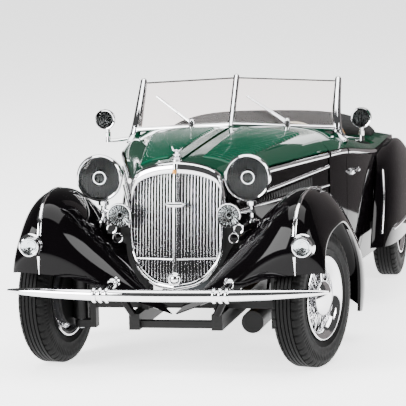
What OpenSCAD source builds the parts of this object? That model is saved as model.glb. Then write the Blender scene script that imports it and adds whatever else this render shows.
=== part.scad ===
// Diecast collector car: a 1:18 open roadster of the late 1930s.
// Origin on the ground under the middle of the car, +Z up, front towards -Y, left side +X.
// Every module draws in a frame whose origin is on the ground under the front axle.

/* [Stance] */
// Distance between the front and rear axles
wheelbase = 183.3; // [152:0.1:220]
// Distance between the middles of the two tyres of an axle
track = 83.6; // [80:0.1:100]
// Width over the fenders
overall_w = 104; // [100:0.5:126]
// Front axle to the front of the front bumper
front_overhang = 36.5; // [34:0.1:44]
// Rear axle to the back of the rear bumper
rear_overhang = 68.2; // [62:0.1:80]

/* [Wheels] */
// Tyre outer diameter
tyre_d = 43.6; // [40:0.1:45]
// Tyre section width
tyre_w = 9.4; // [7.8:0.1:11.3]
// Rim diameter over its flange
rim_d = 26.4; // [24:0.1:30]
// Chrome hub cap diameter
hub_cap_d = 11; // [9:0.1:13.2]
// Stub axle diameter
stub_d = 2.6; // [2.1:0.1:3.2]
// Wire spokes in each of the two rows
spokes = 14; // [8:1:20]

/* [Steering] */
// Angle at which the left front wheel stands, turned to the right
steer_left = 15; // [0:1:16]
// Angle at which the right front wheel stands, turned to the right
steer_right = 10; // [0:1:12]
// Kingpin diameter
kingpin_d = 2; // [1.6:0.1:2.4]
// Kingpin to the tie rod pin
steer_arm = 9; // [8:0.1:11]
// Steering wheel diameter
steering_wheel_d = 23; // [19:0.1:27]

/* [Hood] */
// Half width of the hood at the grille
nose_hw = 15.2; // [13:0.1:17]
// Half width of the hood at its rear edge
cowl_hw = 37.3; // [34:0.1:40]
// Height of the hood's middle at the grille
nose_z = 64.6; // [62:0.1:67]
// Height of the hood's middle at the cowl
cowl_z = 67.4; // [65:0.1:70]
// Rear end of the bonnet behind the front axle, on the centreline
bonnet_end = 80; // [76:0.1:84]
// Height of the belt line along the hood
belt_z = 59.8; // [57:0.1:62]

/* [Body] */
// Sheet thickness of the body castings
wall = 1.1; // [0.9:0.05:1.35]
// Gap round every opening panel
shut_gap = 0.35; // [0.3:0.05:0.42]
// Height of the body's lower edge
sill_z = 16.5; // [14:0.1:19]
// Front edge of the doors behind the front axle
door_front = 88.5; // [86:0.1:94]
// Rear edge of the doors at the belt, ahead of the rear axle
door_to_rear = 53.3; // [48:0.1:60]
// Back end of the body behind the rear axle
tail_l = 62.5; // [58:0.1:66]

/* [Windscreen] */
// Height of the windscreen above its base, along the rake
screen_l = 20.5; // [17:0.1:24.6]
// Rake of the windscreen, from vertical
screen_rake = 38; // [30:1:42]
// Glass thickness
glass_t = 0.7; // [0.6:0.05:0.85]
// Half width of the windscreen
screen_hw = 37.6; // [34:0.1:39]

/* [Lamps and bumpers] */
// Headlamp diameter over the rim
headlamp_d = 14.8; // [12.4:0.1:17.7]
// Fog lamp diameter over the rim
fog_lamp_d = 7.8; // [6.5:0.1:9.3]
// Fender lamp diameter
fender_lamp_d = 6.2; // [5.2:0.1:7.4]
// Search lamp diameter
search_lamp_d = 7.2; // [6:0.1:8.6]
// Bumper tube diameter at its middle
bumper_d = 3.9; // [3.3:0.1:4.6]

/* [Hidden] */
$fn = 48;

overall_l = front_overhang + wheelbase + rear_overhang;
front_axle_y = front_overhang - overall_l / 2;
tyre_r = tyre_d / 2;
half_w = overall_w / 2;
half_track = track / 2;
run_gap = 0.05;
door_rear = wheelbase - door_to_rear;
tail_end = wheelbase + tail_l;

// The fender nets are drawn for these sizes and stretched to the ones above
drawn_tyre_r = 21.8;
drawn_half_w = 52;
drawn_rear_hw = 53.3;
drawn_wheelbase = 183.3;

// ---- Curves and shells ----

function lerp(a, b, t) = a + (b - a) * t;
function clamp(v, lo, hi) = min(max(v, lo), hi);
function unit(v) = v / max(norm(v), 1e-9);

// Smooth curve through a table of [station, value] pairs
function table_slope(tb, i) =
    let(a = max(i - 1, 0), b = min(i + 1, len(tb) - 1))
    (tb[b][1] - tb[a][1]) / (tb[b][0] - tb[a][0]);
function table_span(tb, u, i = 0) =
    i >= len(tb) - 2 || u < tb[i + 1][0] ? i : table_span(tb, u, i + 1);
function curve(tb, u) =
    let(
        i = table_span(tb, u),
        h = tb[i + 1][0] - tb[i][0],
        s = clamp((u - tb[i][0]) / h, 0, 1),
        a = table_slope(tb, i) * h,
        b = table_slope(tb, i + 1) * h)
    (2 * s ^ 3 - 3 * s ^ 2 + 1) * tb[i][1] + (s ^ 3 - 2 * s ^ 2 + s) * a
    + (3 * s ^ 2 - 2 * s ^ 3) * tb[i + 1][1] + (s ^ 3 - s ^ 2) * b;

// Clamped cubic B-spline weights of n control points at t, from 0 to n - 3
function knot(i, n) = clamp(i - 3, 0, n - 3);
function weight(i, d, t, n) =
    d == 0 ? (t >= knot(i, n) && t < knot(i + 1, n) ? 1 : 0) :
    let(
        a = knot(i + d, n) - knot(i, n),
        b = knot(i + d + 1, n) - knot(i + 1, n))
    (a > 0 ? (t - knot(i, n)) / a * weight(i, d - 1, t, n) : 0)
    + (b > 0 ? (knot(i + d + 1, n) - t) / b * weight(i + 1, d - 1, t, n) : 0);
function weights(n, share) =
    let(t = min(share * (n - 3), n - 3 - 1e-6)) [for (i = [0:n - 1]) weight(i, 3, t, n)];
function column(net, j) = [for (row = net) row[j]];
function surface_points(net, rows, cols) =
    let(
        across = [for (j = [0:cols]) weights(len(net[0]), j / cols)])
    [for (i = [0:rows])
        let(
            w = weights(len(net), i / rows),
            line = [for (j = [0:len(net[0]) - 1]) w * column(net, j)])
        [for (a = across) a * line]];

// Unit normals of a grid of points
function grid_normal(g, i, j) =
    let(
        n = len(g) - 1,
        m = len(g[0]) - 1,
        along = g[min(i + 1, n)][j] - g[max(i - 1, 0)][j],
        across = g[i][min(j + 1, m)] - g[i][max(j - 1, 0)])
    unit(cross(along, across));
function grid_offset(g, t) =
    [for (i = [0:len(g) - 1]) [for (j = [0:len(g[0]) - 1]) g[i][j] + t * grid_normal(g, i, j)]];

// A closed solid between two grids of points. The first is the outer one where the grid's
// normal, along x across, points outwards.
module between(outer, inner) {
    n = len(outer);
    m = len(outer[0]);
    points = concat([for (r = outer) for (p = r) p], [for (r = inner) for (p = r) p]);
    function at(i, j) = i * m + j;
    function under(i, j) = n * m + i * m + j;
    skin = [for (i = [0:n - 2]) for (j = [0:m - 2]) each [
        [at(i, j), at(i, j + 1), at(i + 1, j + 1)], [at(i, j), at(i + 1, j + 1), at(i + 1, j)],
        [under(i, j), under(i + 1, j + 1), under(i, j + 1)],
        [under(i, j), under(i + 1, j), under(i + 1, j + 1)]]];
    ends = [for (j = [0:m - 2]) each [
        [at(0, j), under(0, j), under(0, j + 1)], [at(0, j), under(0, j + 1), at(0, j + 1)],
        [at(n - 1, j), under(n - 1, j + 1), under(n - 1, j)],
        [at(n - 1, j), at(n - 1, j + 1), under(n - 1, j + 1)]]];
    sides = [for (i = [0:n - 2]) each [
        [at(i, 0), under(i + 1, 0), under(i, 0)], [at(i, 0), at(i + 1, 0), under(i + 1, 0)],
        [at(i, m - 1), under(i, m - 1), under(i + 1, m - 1)],
        [at(i, m - 1), under(i + 1, m - 1), at(i + 1, m - 1)]]];
    polyhedron(points = points, faces = concat(skin, ends, sides), convexity = 8);
}
// thickness is measured against the grid's normal
module shell(g, thickness = wall) between(g, grid_offset(g, -thickness));

// A strip of constant section swept along a path: side and up are its half sizes
module strip(path, side, up) {
    rings = [for (i = [0:len(path) - 1])
        let(
            d = unit(path[min(i + 1, len(path) - 1)] - path[max(i - 1, 0)]),
            s = unit(cross(d, [0, 0, 1])),
            v = cross(s, d))
        [for (c = [[-1, -1], [1, -1], [1, 1], [-1, 1]]) path[i] + c[0] * side * s + c[1] * up * v]];
    ring_solid(rings);
}
// A closed solid through a list of rings of points, which run clockwise seen along the way
module ring_solid(rings) {
    n = len(rings);
    m = len(rings[0]);
    faces = concat(
        [[for (k = [m - 1:-1:0]) k]],
        [for (i = [0:n - 2]) for (k = [0:m - 1]) each [
            [i * m + k, (i + 1) * m + (k + 1) % m, (i + 1) * m + k],
            [i * m + k, i * m + (k + 1) % m, (i + 1) * m + (k + 1) % m]]],
        [[for (k = [0:m - 1]) (n - 1) * m + k]]);
    polyhedron(points = [for (r = rings) for (p = r) p], faces = faces, convexity = 6);
}
module tube_along(path, radii, sides = 10) {
    rings = [for (i = [0:len(path) - 1])
        let(
            d = unit(path[min(i + 1, len(path) - 1)] - path[max(i - 1, 0)]),
            s = unit(cross(d, abs(d.z) > 0.9 ? [1, 0, 0] : [0, 0, 1])),
            v = cross(s, d))
        [for (k = [0:sides - 1])
            path[i] + radii[i] * (cos(360 * k / sides) * s + sin(360 * k / sides) * v)]];
    ring_solid(rings);
}
module place() translate([0, front_axle_y, 0]) children();
module both() { children(); mirror([1, 0, 0]) children(); }
module rod(a, b, r, fn = $fn) {
    d = b - a;
    translate(a) rotate([0, acos(d.z / norm(d)), atan2(d.y, d.x)])
        cylinder(r = r, h = norm(d), $fn = fn);
}
module x_cyl(r, x0, x1) translate([x0, 0, 0]) rotate([0, 90, 0]) cylinder(r = r, h = x1 - x0);
module block(lo, hi) translate(lo) cube(hi - lo);

// ---- Body form ----

// Half width of the body at the belt
side_plan = [
    [-4, nose_hw], [20, lerp(nose_hw, cowl_hw, 0.29)], [46, lerp(nose_hw, cowl_hw, 0.615)],
    [78, cowl_hw], [96, cowl_hw + 3.4], [116, cowl_hw + 5.6], [wheelbase - 45, cowl_hw + 6.9],
    [wheelbase - 18, cowl_hw + 7], [wheelbase + 12, cowl_hw + 4.4], [wheelbase + 32, cowl_hw - 1],
    [wheelbase + 47, cowl_hw - 9], [wheelbase + 57, cowl_hw - 17.5], [tail_end, cowl_hw - 25]];
// Height of the edge between the body's side and its top
belt_line = [
    [-4, belt_z], [78, belt_z], [92, belt_z - 0.8], [110, belt_z - 3], [wheelbase - 53, belt_z - 5],
    [wheelbase - 33, belt_z - 4.4], [wheelbase - 15, belt_z - 4.2], [wheelbase + 5, belt_z - 6.5],
    [wheelbase + 25, belt_z - 13], [wheelbase + 45, belt_z - 25], [tail_end, belt_z - 36.5]];
// Height of the body's top on the centreline
crest_line = [
    [-4, nose_z], [40, lerp(nose_z, cowl_z, 0.6)], [80, cowl_z], [98, cowl_z + 0.6],
    [wheelbase - 40, 58.4], [wheelbase - 20, 58.8], [wheelbase, 57], [wheelbase + 20, 51],
    [wheelbase + 40, 41.5], [wheelbase + 54, 30.5], [tail_end, 24.5]];
// How square the shoulder between top and side is
function shoulder(u) = u < 80 ? lerp(3, 9, clamp(u / 80, 0, 1)) : u < wheelbase - 30 ? 9 : 4;
function side_x(u) = curve(side_plan, u);
function belt_h(u) = curve(belt_line, u);
function top_h(x, u) =
    let(t = clamp(abs(x) / side_x(u), 0, 1), c = curve(crest_line, u))
    c - (c - belt_h(u)) * (0.42 * t ^ 2 + 0.58 * t ^ shoulder(u));
function flank_x(u, z) =
    let(low = clamp((belt_h(u) - z) / (belt_h(u) - sill_z), 0, 1))
    side_x(u) + 0.8 * low * (1 - low) - 1.8 * low ^ 3;
function sill_h(u) = sill_z + 3 * clamp((u - wheelbase) / tail_l, 0, 1) ^ 2;

// One cross-section of the body, from the left sill over the top to the right sill
flank_steps = 5;
top_steps = [1, 0.93, 0.82, 0.6, 0.32, 0];
function half_section(u) = concat(
    [for (k = [0:flank_steps - 1])
        let(z = lerp(sill_h(u), belt_h(u), k / flank_steps)) [flank_x(u, z), u, z]],
    [for (t = top_steps) [side_x(u) * t, u, top_h(side_x(u) * t, u)]]);
function body_section(u) =
    let(half = half_section(u))
    concat(half, [for (k = [len(half) - 2:-1:0]) [-half[k].x, u, half[k].z]]);
body_stations = [
    for (u = [28, 38, 50, 64, 72, 78, 84, 90, 96, 103, 110]) u,
    for (s = [-66, -58, -50, -42, -34, -26, -14, 0, 12, 22, 32, 40, 47, 53, 58]) wheelbase + s,
    tail_end];
module body_skin() shell([for (u = body_stations) body_section(u)]);

// Rear edge of the bonnet at a distance x from the centreline
function bonnet_rear(x) = bonnet_end - 8 * (abs(x) / cowl_hw) ^ 2;

// Region seen from the side between two shut lines, as a plate through the body
module side_region(points, x0, x1)
    translate([x0, 0, 0]) rotate([90, 0, 90]) linear_extrude(height = x1 - x0) polygon(points);
// Door outline in [u, z], shrunk by e on each side. Its rear edge keeps ahead of the fender, and
// its top edge steps down under the foot of the windscreen.
door_step = 98;
function door_outline(e) = [
    [door_front + e, sill_z + 4 + e], [door_rear - 23.5 - e, sill_z + 4 + e],
    [door_rear - 18.5 - e, sill_z + 11 + e], [door_rear - 9.2 - e, 41], [door_rear - 4 - e, 48],
    [door_rear - e, 54], [door_rear - e, 75], [door_step + e, 75], [door_step + e, belt_z - 2.2 - e],
    [door_front + e, belt_z - 2.2 - e]];
module door_region(e, x0 = 20, x1 = 60) side_region(door_outline(e), x0, x1);
// Boot lid outline in plan
boot_front = wheelbase - 4;
boot_rear = wheelbase + 34;
boot_hw = 19;
module boot_region(e)
    translate([0, 0, 30]) linear_extrude(height = 40)
        polygon([
            [-boot_hw + e, boot_front + e], [boot_hw - e, boot_front + e],
            [boot_hw - 3 - e, boot_rear - e], [-boot_hw + 3 + e, boot_rear - e]]);

module cabin_cut() {
    // Cockpit, open from above
    cabin_front = 97;
    cabin_rear = wheelbase - 36;
    hw = cowl_hw - 1;
    translate([0, 0, 53]) linear_extrude(height = 30)
        polygon([
            [-hw, cabin_front], [0, cabin_front + 3], [hw, cabin_front],
            [hw + 4.6, cabin_front + 16], [hw + 6.2, cabin_rear - 8], [hw - 2, cabin_rear],
            [-hw + 2, cabin_rear], [-hw - 6.2, cabin_rear - 8], [-hw - 4.6, cabin_front + 16]]);
}

module body_shell() color("black") place() {
    difference() {
        body_skin();
        // Hood bay: everything ahead of the cowl above the chassis skirt
        translate([0, 0, 41.2]) linear_extrude(height = 40)
            polygon(concat(
                [[-60, 20], [60, 20]],
                [for (k = [8:-1:-8]) [k * 7.5, bonnet_rear(min(abs(k * 7.5), cowl_hw)) + shut_gap]]));
        cabin_cut();
        both() door_region(0);
        boot_region(0);
        // Wheel arches, which the rear fenders cover
        translate([0, wheelbase, tyre_r]) {
            both() x_cyl(tyre_r + 1.8, 32.6, 60);
        }
    }
    // Firewall
    difference() {
        union() {
            block([-32, 77, 20], [32, 78.2, 60]);
            block([-36.3, 77, 36], [36.3, 78.2, 46]);
        }
        block([-9, 76, 19], [9, 80, 34]);
    }
    // Tail panel
    translate([0, tail_end - 1.2, 0]) rotate([90, 0, 0]) mirror([0, 0, 1])
        linear_extrude(height = 1.2)
            polygon([for (p = body_section(tail_end)) [p.x * 0.97, p.z - 0.3]]);
}

module door_panel() difference() {
    intersection() {
        body_skin();
        door_region(shut_gap);
    }
    cabin_cut();
}
module door_left() color("black") place() intersection() {
    door_panel();
    block([20, 80, 0], [60, 200, 80]);
}
module door_right() mirror([1, 0, 0]) door_left();
module boot_lid() color("black") place() intersection() {
    body_skin();
    boot_region(shut_gap);
}

module x_cyl_at(u, z, x0, x1) translate([0, u, z]) x_cyl(0.4, x0, x1);
// Belt strip and handle of the left door, which stand on the door's skin
module door_trim_left() color("silver") place() {
    stations = [for (k = [0:8]) lerp(door_front + 1, door_rear - 1, k / 8)];
    strip([for (u = stations) [side_x(u) + 0.75, u, belt_h(u) - 1.2]], 0.5, 0.75);
    for (u = [104, 122]) x_cyl_at(u, belt_h(u) - 1.8, side_x(u) - 0.5, side_x(u) + 0.7);
    handle_y = door_front + 5;
    handle_z = 50.5;
    handle_x = flank_x(handle_y, handle_z);
    translate([handle_x - 0.2, handle_y, handle_z]) rotate([0, 90, 0]) cylinder(r = 1.3, h = 1);
    translate([handle_x + 1.4, handle_y - 0.8, handle_z]) rotate([-90, 0, 0]) cylinder(r = 0.6, h = 8);
    translate([handle_x + 0.6, handle_y, handle_z]) rotate([0, 90, 0]) cylinder(r = 0.7, h = 1);
}
module door_trim_right() mirror([1, 0, 0]) door_trim_left();

// ---- Bonnet and hood sides ----

hinge_gap = 0.7;
module bonnet_left() color("darkgreen") place() {
    rows = 14;
    across = [1, 0.96, 0.9, 0.8, 0.62, 0.4, 0.2, 0];
    g = [for (i = [0:rows]) [for (t = across)
        let(
            x_end = side_x(bonnet_rear(cowl_hw)),
            u = lerp(-1.6, bonnet_rear(t * x_end), i / rows),
            x = lerp(hinge_gap, side_x(u) - 0.25, t))
        [x, u, top_h(x, u) + 0.02]]];
    shell(g);
}
module bonnet_right() mirror([1, 0, 0]) bonnet_left();

module hood_side_left() color("black") place() {
    rows = 14;
    g = [for (i = [0:rows])
        let(u = lerp(-1.6, bonnet_rear(cowl_hw) - shut_gap / 2, i / rows), top = belt_h(u) - wall - 0.6)
        [for (s = [0:0.25:1])
            let(z = lerp(41.2, top, s)) [side_x(u) - 0.1, u, z]]];
    shell(g);
    // Louvre slats between the two chrome strips
    for (k = [0:19]) {
        u = 6 + 2.5 * k;
        translate([side_x(u) - 0.3, u, 45.3]) rotate([0, 0, -atan((side_x(u + 2) - side_x(u)) / 2)])
            cube([0.8, 1.1, 6.2]);
    }
}
module hood_side_right() mirror([1, 0, 0]) hood_side_left();

// ---- Fenders ----

// A net point is drawn at the drawn size. It is stretched from the hood's side out to the
// fender's width, and grows with the tyre.
function drawn_inner(u) = u < -4 ? nose_hw : side_x(u);
function fender_point(p) =
    let(
        k = tyre_r / drawn_tyre_r,
        inner = drawn_inner(p.y),
        x = p.x < inner ? p.x : lerp(inner, half_w, (p.x - inner) / (drawn_half_w - inner)))
    [x, p.y * k, p.z * k];
function beside(u, z) = [side_x(u) + 0.5, u, z];
function against(u, z) = [flank_x(u - drawn_wheelbase + wheelbase, z) + 0.5, u, z];

// Rows run from the lower front edge over the wheel to the tail, columns from the arch lip
// over the crown to the hood
front_net = [
    [[49.2, -22.4, 32.4], [49.4, -23, 32.6], [47.6, -24.4, 32.8], [41.8, -25.2, 32.6],
        [33, -23.8, 31.6], [23.5, -20.6, 28.4], [12, -16.8, 22.6], [0.5, -15.2, 18.6]],
    [[49, -21.6, 36.6], [49.2, -22.4, 37.2], [47.6, -25.4, 38.6], [41.8, -26.4, 39],
        [32.5, -24.8, 37.4], [23, -20.4, 33], [13.2, -16.4, 26.2], [4.5, -14.6, 22.4]],
    [[48.6, -17, 40.6], [48.8, -17.8, 41.6], [46.4, -22.4, 45.6], [41.6, -25, 47.6],
        [33, -23, 45.6], [23.6, -18, 38.2], [15, -14.8, 31], [9.8, -13.6, 26.4]],
    [[49.4, -9.5, 43.9], [49.4, -10.2, 45.2], [46.6, -14.6, 50.4], [42, -18, 55.2],
        [34.6, -17, 54], [25, -13.4, 44.6], [18.4, -11.6, 37.4], [15, -10.8, 33.2]],
    [[50.8, 0.5, 45.3], [50.9, 0.2, 46.8], [47.8, -1.5, 51.6], [42.4, -3, 57],
        [35, -3, 56.6], [27.5, -3, 48.6], [21.2, -4, 42], [17.4, -5, 39.4]],
    [[50.6, 9, 44], [51.2, 9.2, 45.4], [48.4, 10.2, 50.6], [43, 11, 56],
        [36, 10.6, 55.2], [29.6, 9.6, 48], [24.4, 8.6, 43], beside(8, 41.2)],
    [[50.6, 20, 40], [51, 20.6, 41.6], [48.2, 23, 47], [43.4, 25, 53],
        [37.5, 24, 52.4], [32, 22.4, 46.6], [28, 21, 43.2], beside(20.5, 42)],
    [[50.6, 29, 35], [51.2, 30, 36.4], [49, 33.4, 40.6], [45, 36, 46],
        [39.6, 35, 45.6], [34.8, 33.2, 42.4], [31.8, 32.6, 41], beside(32, 40.4)],
    [[51, 35.4, 28.6], [51.8, 37, 30], [50.4, 43, 33], [46.8, 46.4, 37],
        [41.8, 46, 37], [38.2, 45.4, 36.8], [35.2, 44.8, 36.6], beside(44, 36)],
    [[51.2, 37.8, 21.6], [52.4, 41, 22.6], [51.2, 50.6, 24], [48, 54.6, 25.4],
        [43.6, 55, 25.8], [40.2, 55, 26.6], [37.6, 55, 27.2], beside(54.6, 27.6)],
    [[51, 38, 14.6], [52, 42, 14.4], [51, 51.6, 15.2], [48.2, 55, 16],
        [44.2, 56, 16.8], [41, 56.6, 18], [38.6, 57, 19], beside(57.5, 20)],
    [[50.6, 38.6, 10.4], [51.2, 42.4, 9.9], [50.2, 48.4, 10.2], [47.8, 51.8, 10.8],
        [44.6, 53.6, 12.2], [41.8, 55, 14], [39.4, 56, 15.6], beside(57.5, 17.2)]];

module front_fender_left() color("black") place()
    shell(surface_points([for (r = front_net) [for (p = r) fender_point(p)]], 26, 14));
module front_fender_right() mirror([1, 0, 0]) front_fender_left();

// Rows run from the leading edge to the tail, columns from the lower lip over the crown to the body
rear_net = [
    [[44.6, 112, 20.6], [44.8, 114, 26], [44.9, 118, 33], [45.1, 122.5, 40.4], [45.3, 127, 47],
        against(131, 52)],
    [[49.6, 114.5, 20.4], [50.4, 117.6, 27], [50.4, 122, 35], [49.6, 127, 42.8],
        [47.8, 132.6, 49.8], against(136, 53)],
    [[52.6, 126, 20.2], [53.6, 128.4, 28], [53.4, 132, 38], [51.8, 137, 47], [48.4, 143, 54.6],
        against(147, 54)],
    [[53, 148, 20.2], [54.1, 149, 30], [53.6, 151, 41], [51.6, 154, 50.6], [48, 158, 57.2],
        against(161, 54.4)],
    [[53, 172, 20.2], [54.1, 172, 30], [53.6, 173, 40.6], [51.4, 175, 49.4], [47.4, 177, 55.4],
        against(178, 53.4)],
    [[52.6, 197, 20], [53.5, 197, 28.6], [52.6, 196.6, 38], [49.8, 196, 45.8], [45.6, 196, 51.2],
        against(196, 49.8)],
    [[51, 217, 19], [51.6, 217, 26], [50.2, 216, 33], [47, 214.6, 39.4], [42.4, 213.4, 44.2],
        against(212.4, 43)],
    [[47.4, 231, 18], [47.6, 231, 22.6], [45.8, 230, 27.6], [42.2, 228.6, 32.4], [37, 227.4, 35.6],
        against(226.6, 34.4)],
    [[41.6, 238.6, 17.4], [41.4, 238.6, 20], [39.6, 238, 23], [36, 237.2, 26], [31.6, 236.4, 28.2],
        against(235.6, 28)]];
function rear_point(p) =
    let(inner = side_x(drawn_wheelbase))
    [p.x < inner ? p.x : lerp(inner, half_w, (p.x - inner) / (drawn_rear_hw - inner)),
        p.y - drawn_wheelbase + wheelbase, p.z];
module rear_fender_left() color("black") place()
    shell(surface_points([for (r = rear_net) [for (p = r) rear_point(p)]], 22, 11));
module rear_fender_right() mirror([1, 0, 0]) rear_fender_left();

// ---- Grille ----

// Half width of the radiator shell and of its opening, bottom centre to top centre
shell_edge = [
    [0, 25], [6, 27], [9.8, 30], [13.3, 36], [14.5, 42], [15, 50], [14.8, 56], [13.9, 60.3],
    [11, 62.8], [6, 64.4], [0, 65.2]];
opening_edge = [
    [0, 27.2], [5, 29], [8.4, 31.8], [11.9, 37], [13.1, 42.4], [13.7, 50], [13.4, 55], [12.4, 57.8],
    [10, 59.2], [5.5, 60.2], [0, 60.7]];
function spine_y(z) = lerp(-13, -7.1, (z - 26.6) / 38.7);
function face_y(p) = spine_y(p.y) + 2.5 * p.x / 15;
module grille_shell() color("silver") place() {
    half = [for (k = [0:len(shell_edge) - 1])
        let(o = shell_edge[k], i = opening_edge[k])
        [[i.x, face_y(i) + 1.6, i.y], [i.x, face_y(i), i.y], [lerp(i.x, o.x, 0.6), face_y(o) - 0.35,
            lerp(i.y, o.y, 0.6)], [o.x, face_y(o) + 0.7, o.y], [o.x * 1.01, -2.1, o.y * 0.99 + 0.3],
            [o.x * 0.93, -2.1, o.y * 0.98], [lerp(i.x, o.x, 0.4), face_y(o) + 2, lerp(i.y, o.y, 0.4)]]];
    n = len(half) - 1;
    loop = concat(half, [for (k = [n - 1:-1:1]) [for (p = half[k]) [-p.x, p.y, p.z]]]);
    m = len(loop);
    r = len(loop[0]);
    faces = [for (a = [0:m - 1]) for (b = [0:r - 1]) each [
        [a * r + b, ((a + 1) % m) * r + b, ((a + 1) % m) * r + (b + 1) % r],
        [a * r + b, ((a + 1) % m) * r + (b + 1) % r, a * r + (b + 1) % r]]];
    polyhedron(points = [for (q = loop) for (p = q) p], faces = faces, convexity = 8);
}
function span_z(x, rows, k = 0) =
    x > rows[k][0] && k < 5 ? span_z(x, rows, k + 1) : k == 0 ? rows[0][1] :
    lerp(rows[k - 1][1], rows[k][1], (x - rows[k - 1][0]) / (rows[k][0] - rows[k - 1][0]));
top_edge = [for (k = [0:5]) opening_edge[10 - k]];
module grille_bars() color("silver") place() {
    both() for (k = [1:14]) {
        x = 0.95 * k - 0.1;
        z0 = span_z(x, opening_edge) + 0.3;
        z1 = (x < 12.4 ? span_z(x, top_edge) : 57.4) - 0.3;
        rod([x, face_y([x, z0]) + 1.1, z0], [x, face_y([x, z1]) + 1.1, z1], 0.26, 6);
    }
    // Spine and the two crossbars
    rod([0, spine_y(27.6) + 0.3, 27.6], [0, spine_y(60.2) + 0.3, 60.2], 0.75, 24);
    both() rod([0.6, spine_y(38.5) + 1, 38.5], [12, face_y([12, 38.5]) + 1.2, 38.5], 0.3, 12);
    translate([0, spine_y(29) + 0.4, 29]) sphere(r = 1.9);
    translate([0, spine_y(52) - 0.1, 52]) rotate([0, 90, 0]) cylinder(r = 0.7, h = 5.2, center = true);
}
module radiator_core() color("dimgray") place() {
    translate([0, -2.4, 0]) rotate([90, 0, 0]) linear_extrude(height = 2.8)
        polygon([
            [-6, 31.5], [6, 31.5], [9.6, 36.5], [11.2, 44], [11.2, 55], [9, 57.6], [-9, 57.6],
            [-11.2, 55], [-11.2, 44], [-9.6, 36.5]]);
    block([-14.2, -3.6, 47], [14.2, -2.6, 52]);
    both() block([rail_x - 1, -5, 18], [rail_x + 1, -3, 47]);
}
module radiator_mascot() color("silver") place() translate([0, -4.4, nose_z + 0.45]) {
    cylinder(r = 1.9, h = 0.9);
    translate([0, 0, 0.9]) cylinder(r = 1.45, h = 0.7);
    translate([0, 0, 1.6]) cylinder(r = 1.75, h = 0.5);
    translate([0, 0, 2.1]) cylinder(r1 = 1.1, r2 = 0.5, h = 1.2);
    translate([0, 0, 3.6]) sphere(r = 0.8);
    // A pair of small wings
    both() translate([0.4, 0, 3.4]) rotate([0, -28, 0]) block([0, -0.25, -0.4], [2.6, 0.25, 0.4]);
}

// ---- Lamps ----

lamp_x = 23.6;
lamp_y = -10.3;
lamp_z = 60.6;
module face_on(x, y, z) translate([x, y, z]) rotate([90, 0, 0]) children();
module headlamp_buckets() color("silver") place() both() face_on(lamp_x, lamp_y, lamp_z) {
    r = headlamp_d / 2 - 0.5;
    difference() {
        rotate([180, 0, 0]) rotate_extrude()
            polygon([[0, 0], [r, 0], [r, 3], [r * 0.93, 6.5], [r * 0.72, 10.5], [r * 0.38, 13.5], [0, 14.6]]);
        translate([0, 0, -2.5]) cylinder(r = r - 0.9, h = 3);
    }
}
module headlamp_rims() color("silver") place() both() face_on(lamp_x, lamp_y, lamp_z)
    rotate_extrude() translate([headlamp_d / 2 - 0.75, 0.05])
        polygon([[0, 0], [0.75, 0], [0.75, 0.7], [0.5, 1.2], [0, 1.2]]);
module headlamp_lens() face_on(lamp_x, lamp_y, lamp_z) {
    translate([0, 0, 0.1]) cylinder(r = headlamp_d / 2 - 0.8, h = 0.7);
    translate([0, 0, -2.3]) cylinder(r = 1.4, h = 2.6);
}
module lamp_stalks() color("silver") place() both() {
    bottom = lamp_z - headlamp_d / 2 + 0.2;
    rod([lamp_x, lamp_y + 4.2, bottom + 0.6], [lamp_x + 0.4, lamp_y + 4.4, 47], 1.15);
    block([lamp_x - 2, lamp_y + 2.4, 51], [lamp_x + 2.4, lamp_y + 6.6, 52.6]);
    // Bar carrying the fog lamp beside the radiator shell
    rod([lamp_x + 0.2, lamp_y + 4.4, 49.4], [17.4, lamp_y + 2.4, 49.2], 0.7);
    cone_foot();
    horn();
}
fog_x = 17.4;
fog_y = -11.2;
fog_z = 48.9;
module fog_lamps() color("silver") place() both() face_on(fog_x, fog_y, fog_z) {
    r = fog_lamp_d / 2;
    rotate([180, 0, 0]) rotate_extrude()
        polygon([[0, 0.2], [r, 0.2], [r, 1.4], [r * 0.6, 3], [0, 3.4]]);
    rotate_extrude() translate([r - 0.5, -0.15]) square([0.5, 0.9]);
}
module fog_lens() face_on(fog_x, fog_y, fog_z) cylinder(r = fog_lamp_d / 2 - 0.55, h = 0.6);
marker_x = 42.7;
marker_y = -26.2;
marker_z = 41.1;
module fender_lamps() color("silver") place() both() face_on(marker_x, marker_y, marker_z) {
    rotate([180, 0, 0]) cylinder(r1 = fender_lamp_d / 2, r2 = fender_lamp_d / 2 + 0.8, h = 1.6);
    rotate_extrude() translate([fender_lamp_d / 2 - 0.5, 0.05]) square([0.5, 0.75]);
}
module lamp_lenses() color("lightblue") place() both() {
    headlamp_lens();
    fog_lens();
    face_on(marker_x, marker_y, marker_z)
        translate([0, 0, 0.05]) cylinder(r = fender_lamp_d / 2 - 0.55, h = 0.6);
}
module cone_foot() translate([lamp_x + 0.4, lamp_y + 4.4, 42]) {
    cylinder(r = 1.1, h = 4);
    translate([0, 0, 3.2]) cylinder(r1 = 2.3, r2 = 1.3, h = 1.8);
}
module horn() {
    rod([20.4, -9.6, 44.6], [23, -4.6, 45.6], 0.9, 24);
    translate([20.3, -10, 44.6]) rotate([90, 0, 0]) cylinder(r1 = 1, r2 = 2, h = 1.6);
}
search_x = 45.5;
module search_lamps() color("silver") place() both() {
    r = search_lamp_d / 2;
    face_on(search_x, 85.9, 70) {
        rotate([180, 0, 0]) rotate_extrude()
            polygon([[0, 0], [r - 0.1, 0], [r - 0.1, 1.6], [r * 0.7, 3.8], [0, 5]]);
        rotate_extrude() translate([r - 0.6, -0.05]) square([0.6, 1]);
        cylinder(r = r - 0.55, h = 0.55);
    }
    rod([search_x - 0.3, 88.2, 68.4], [search_x - 0.3, 88.2, 61.9], 0.8, 24);
    rod([search_x - 0.3, 88.2, 62.3], [38.4, 92.5, 62.6], 0.7, 24);
}
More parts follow.
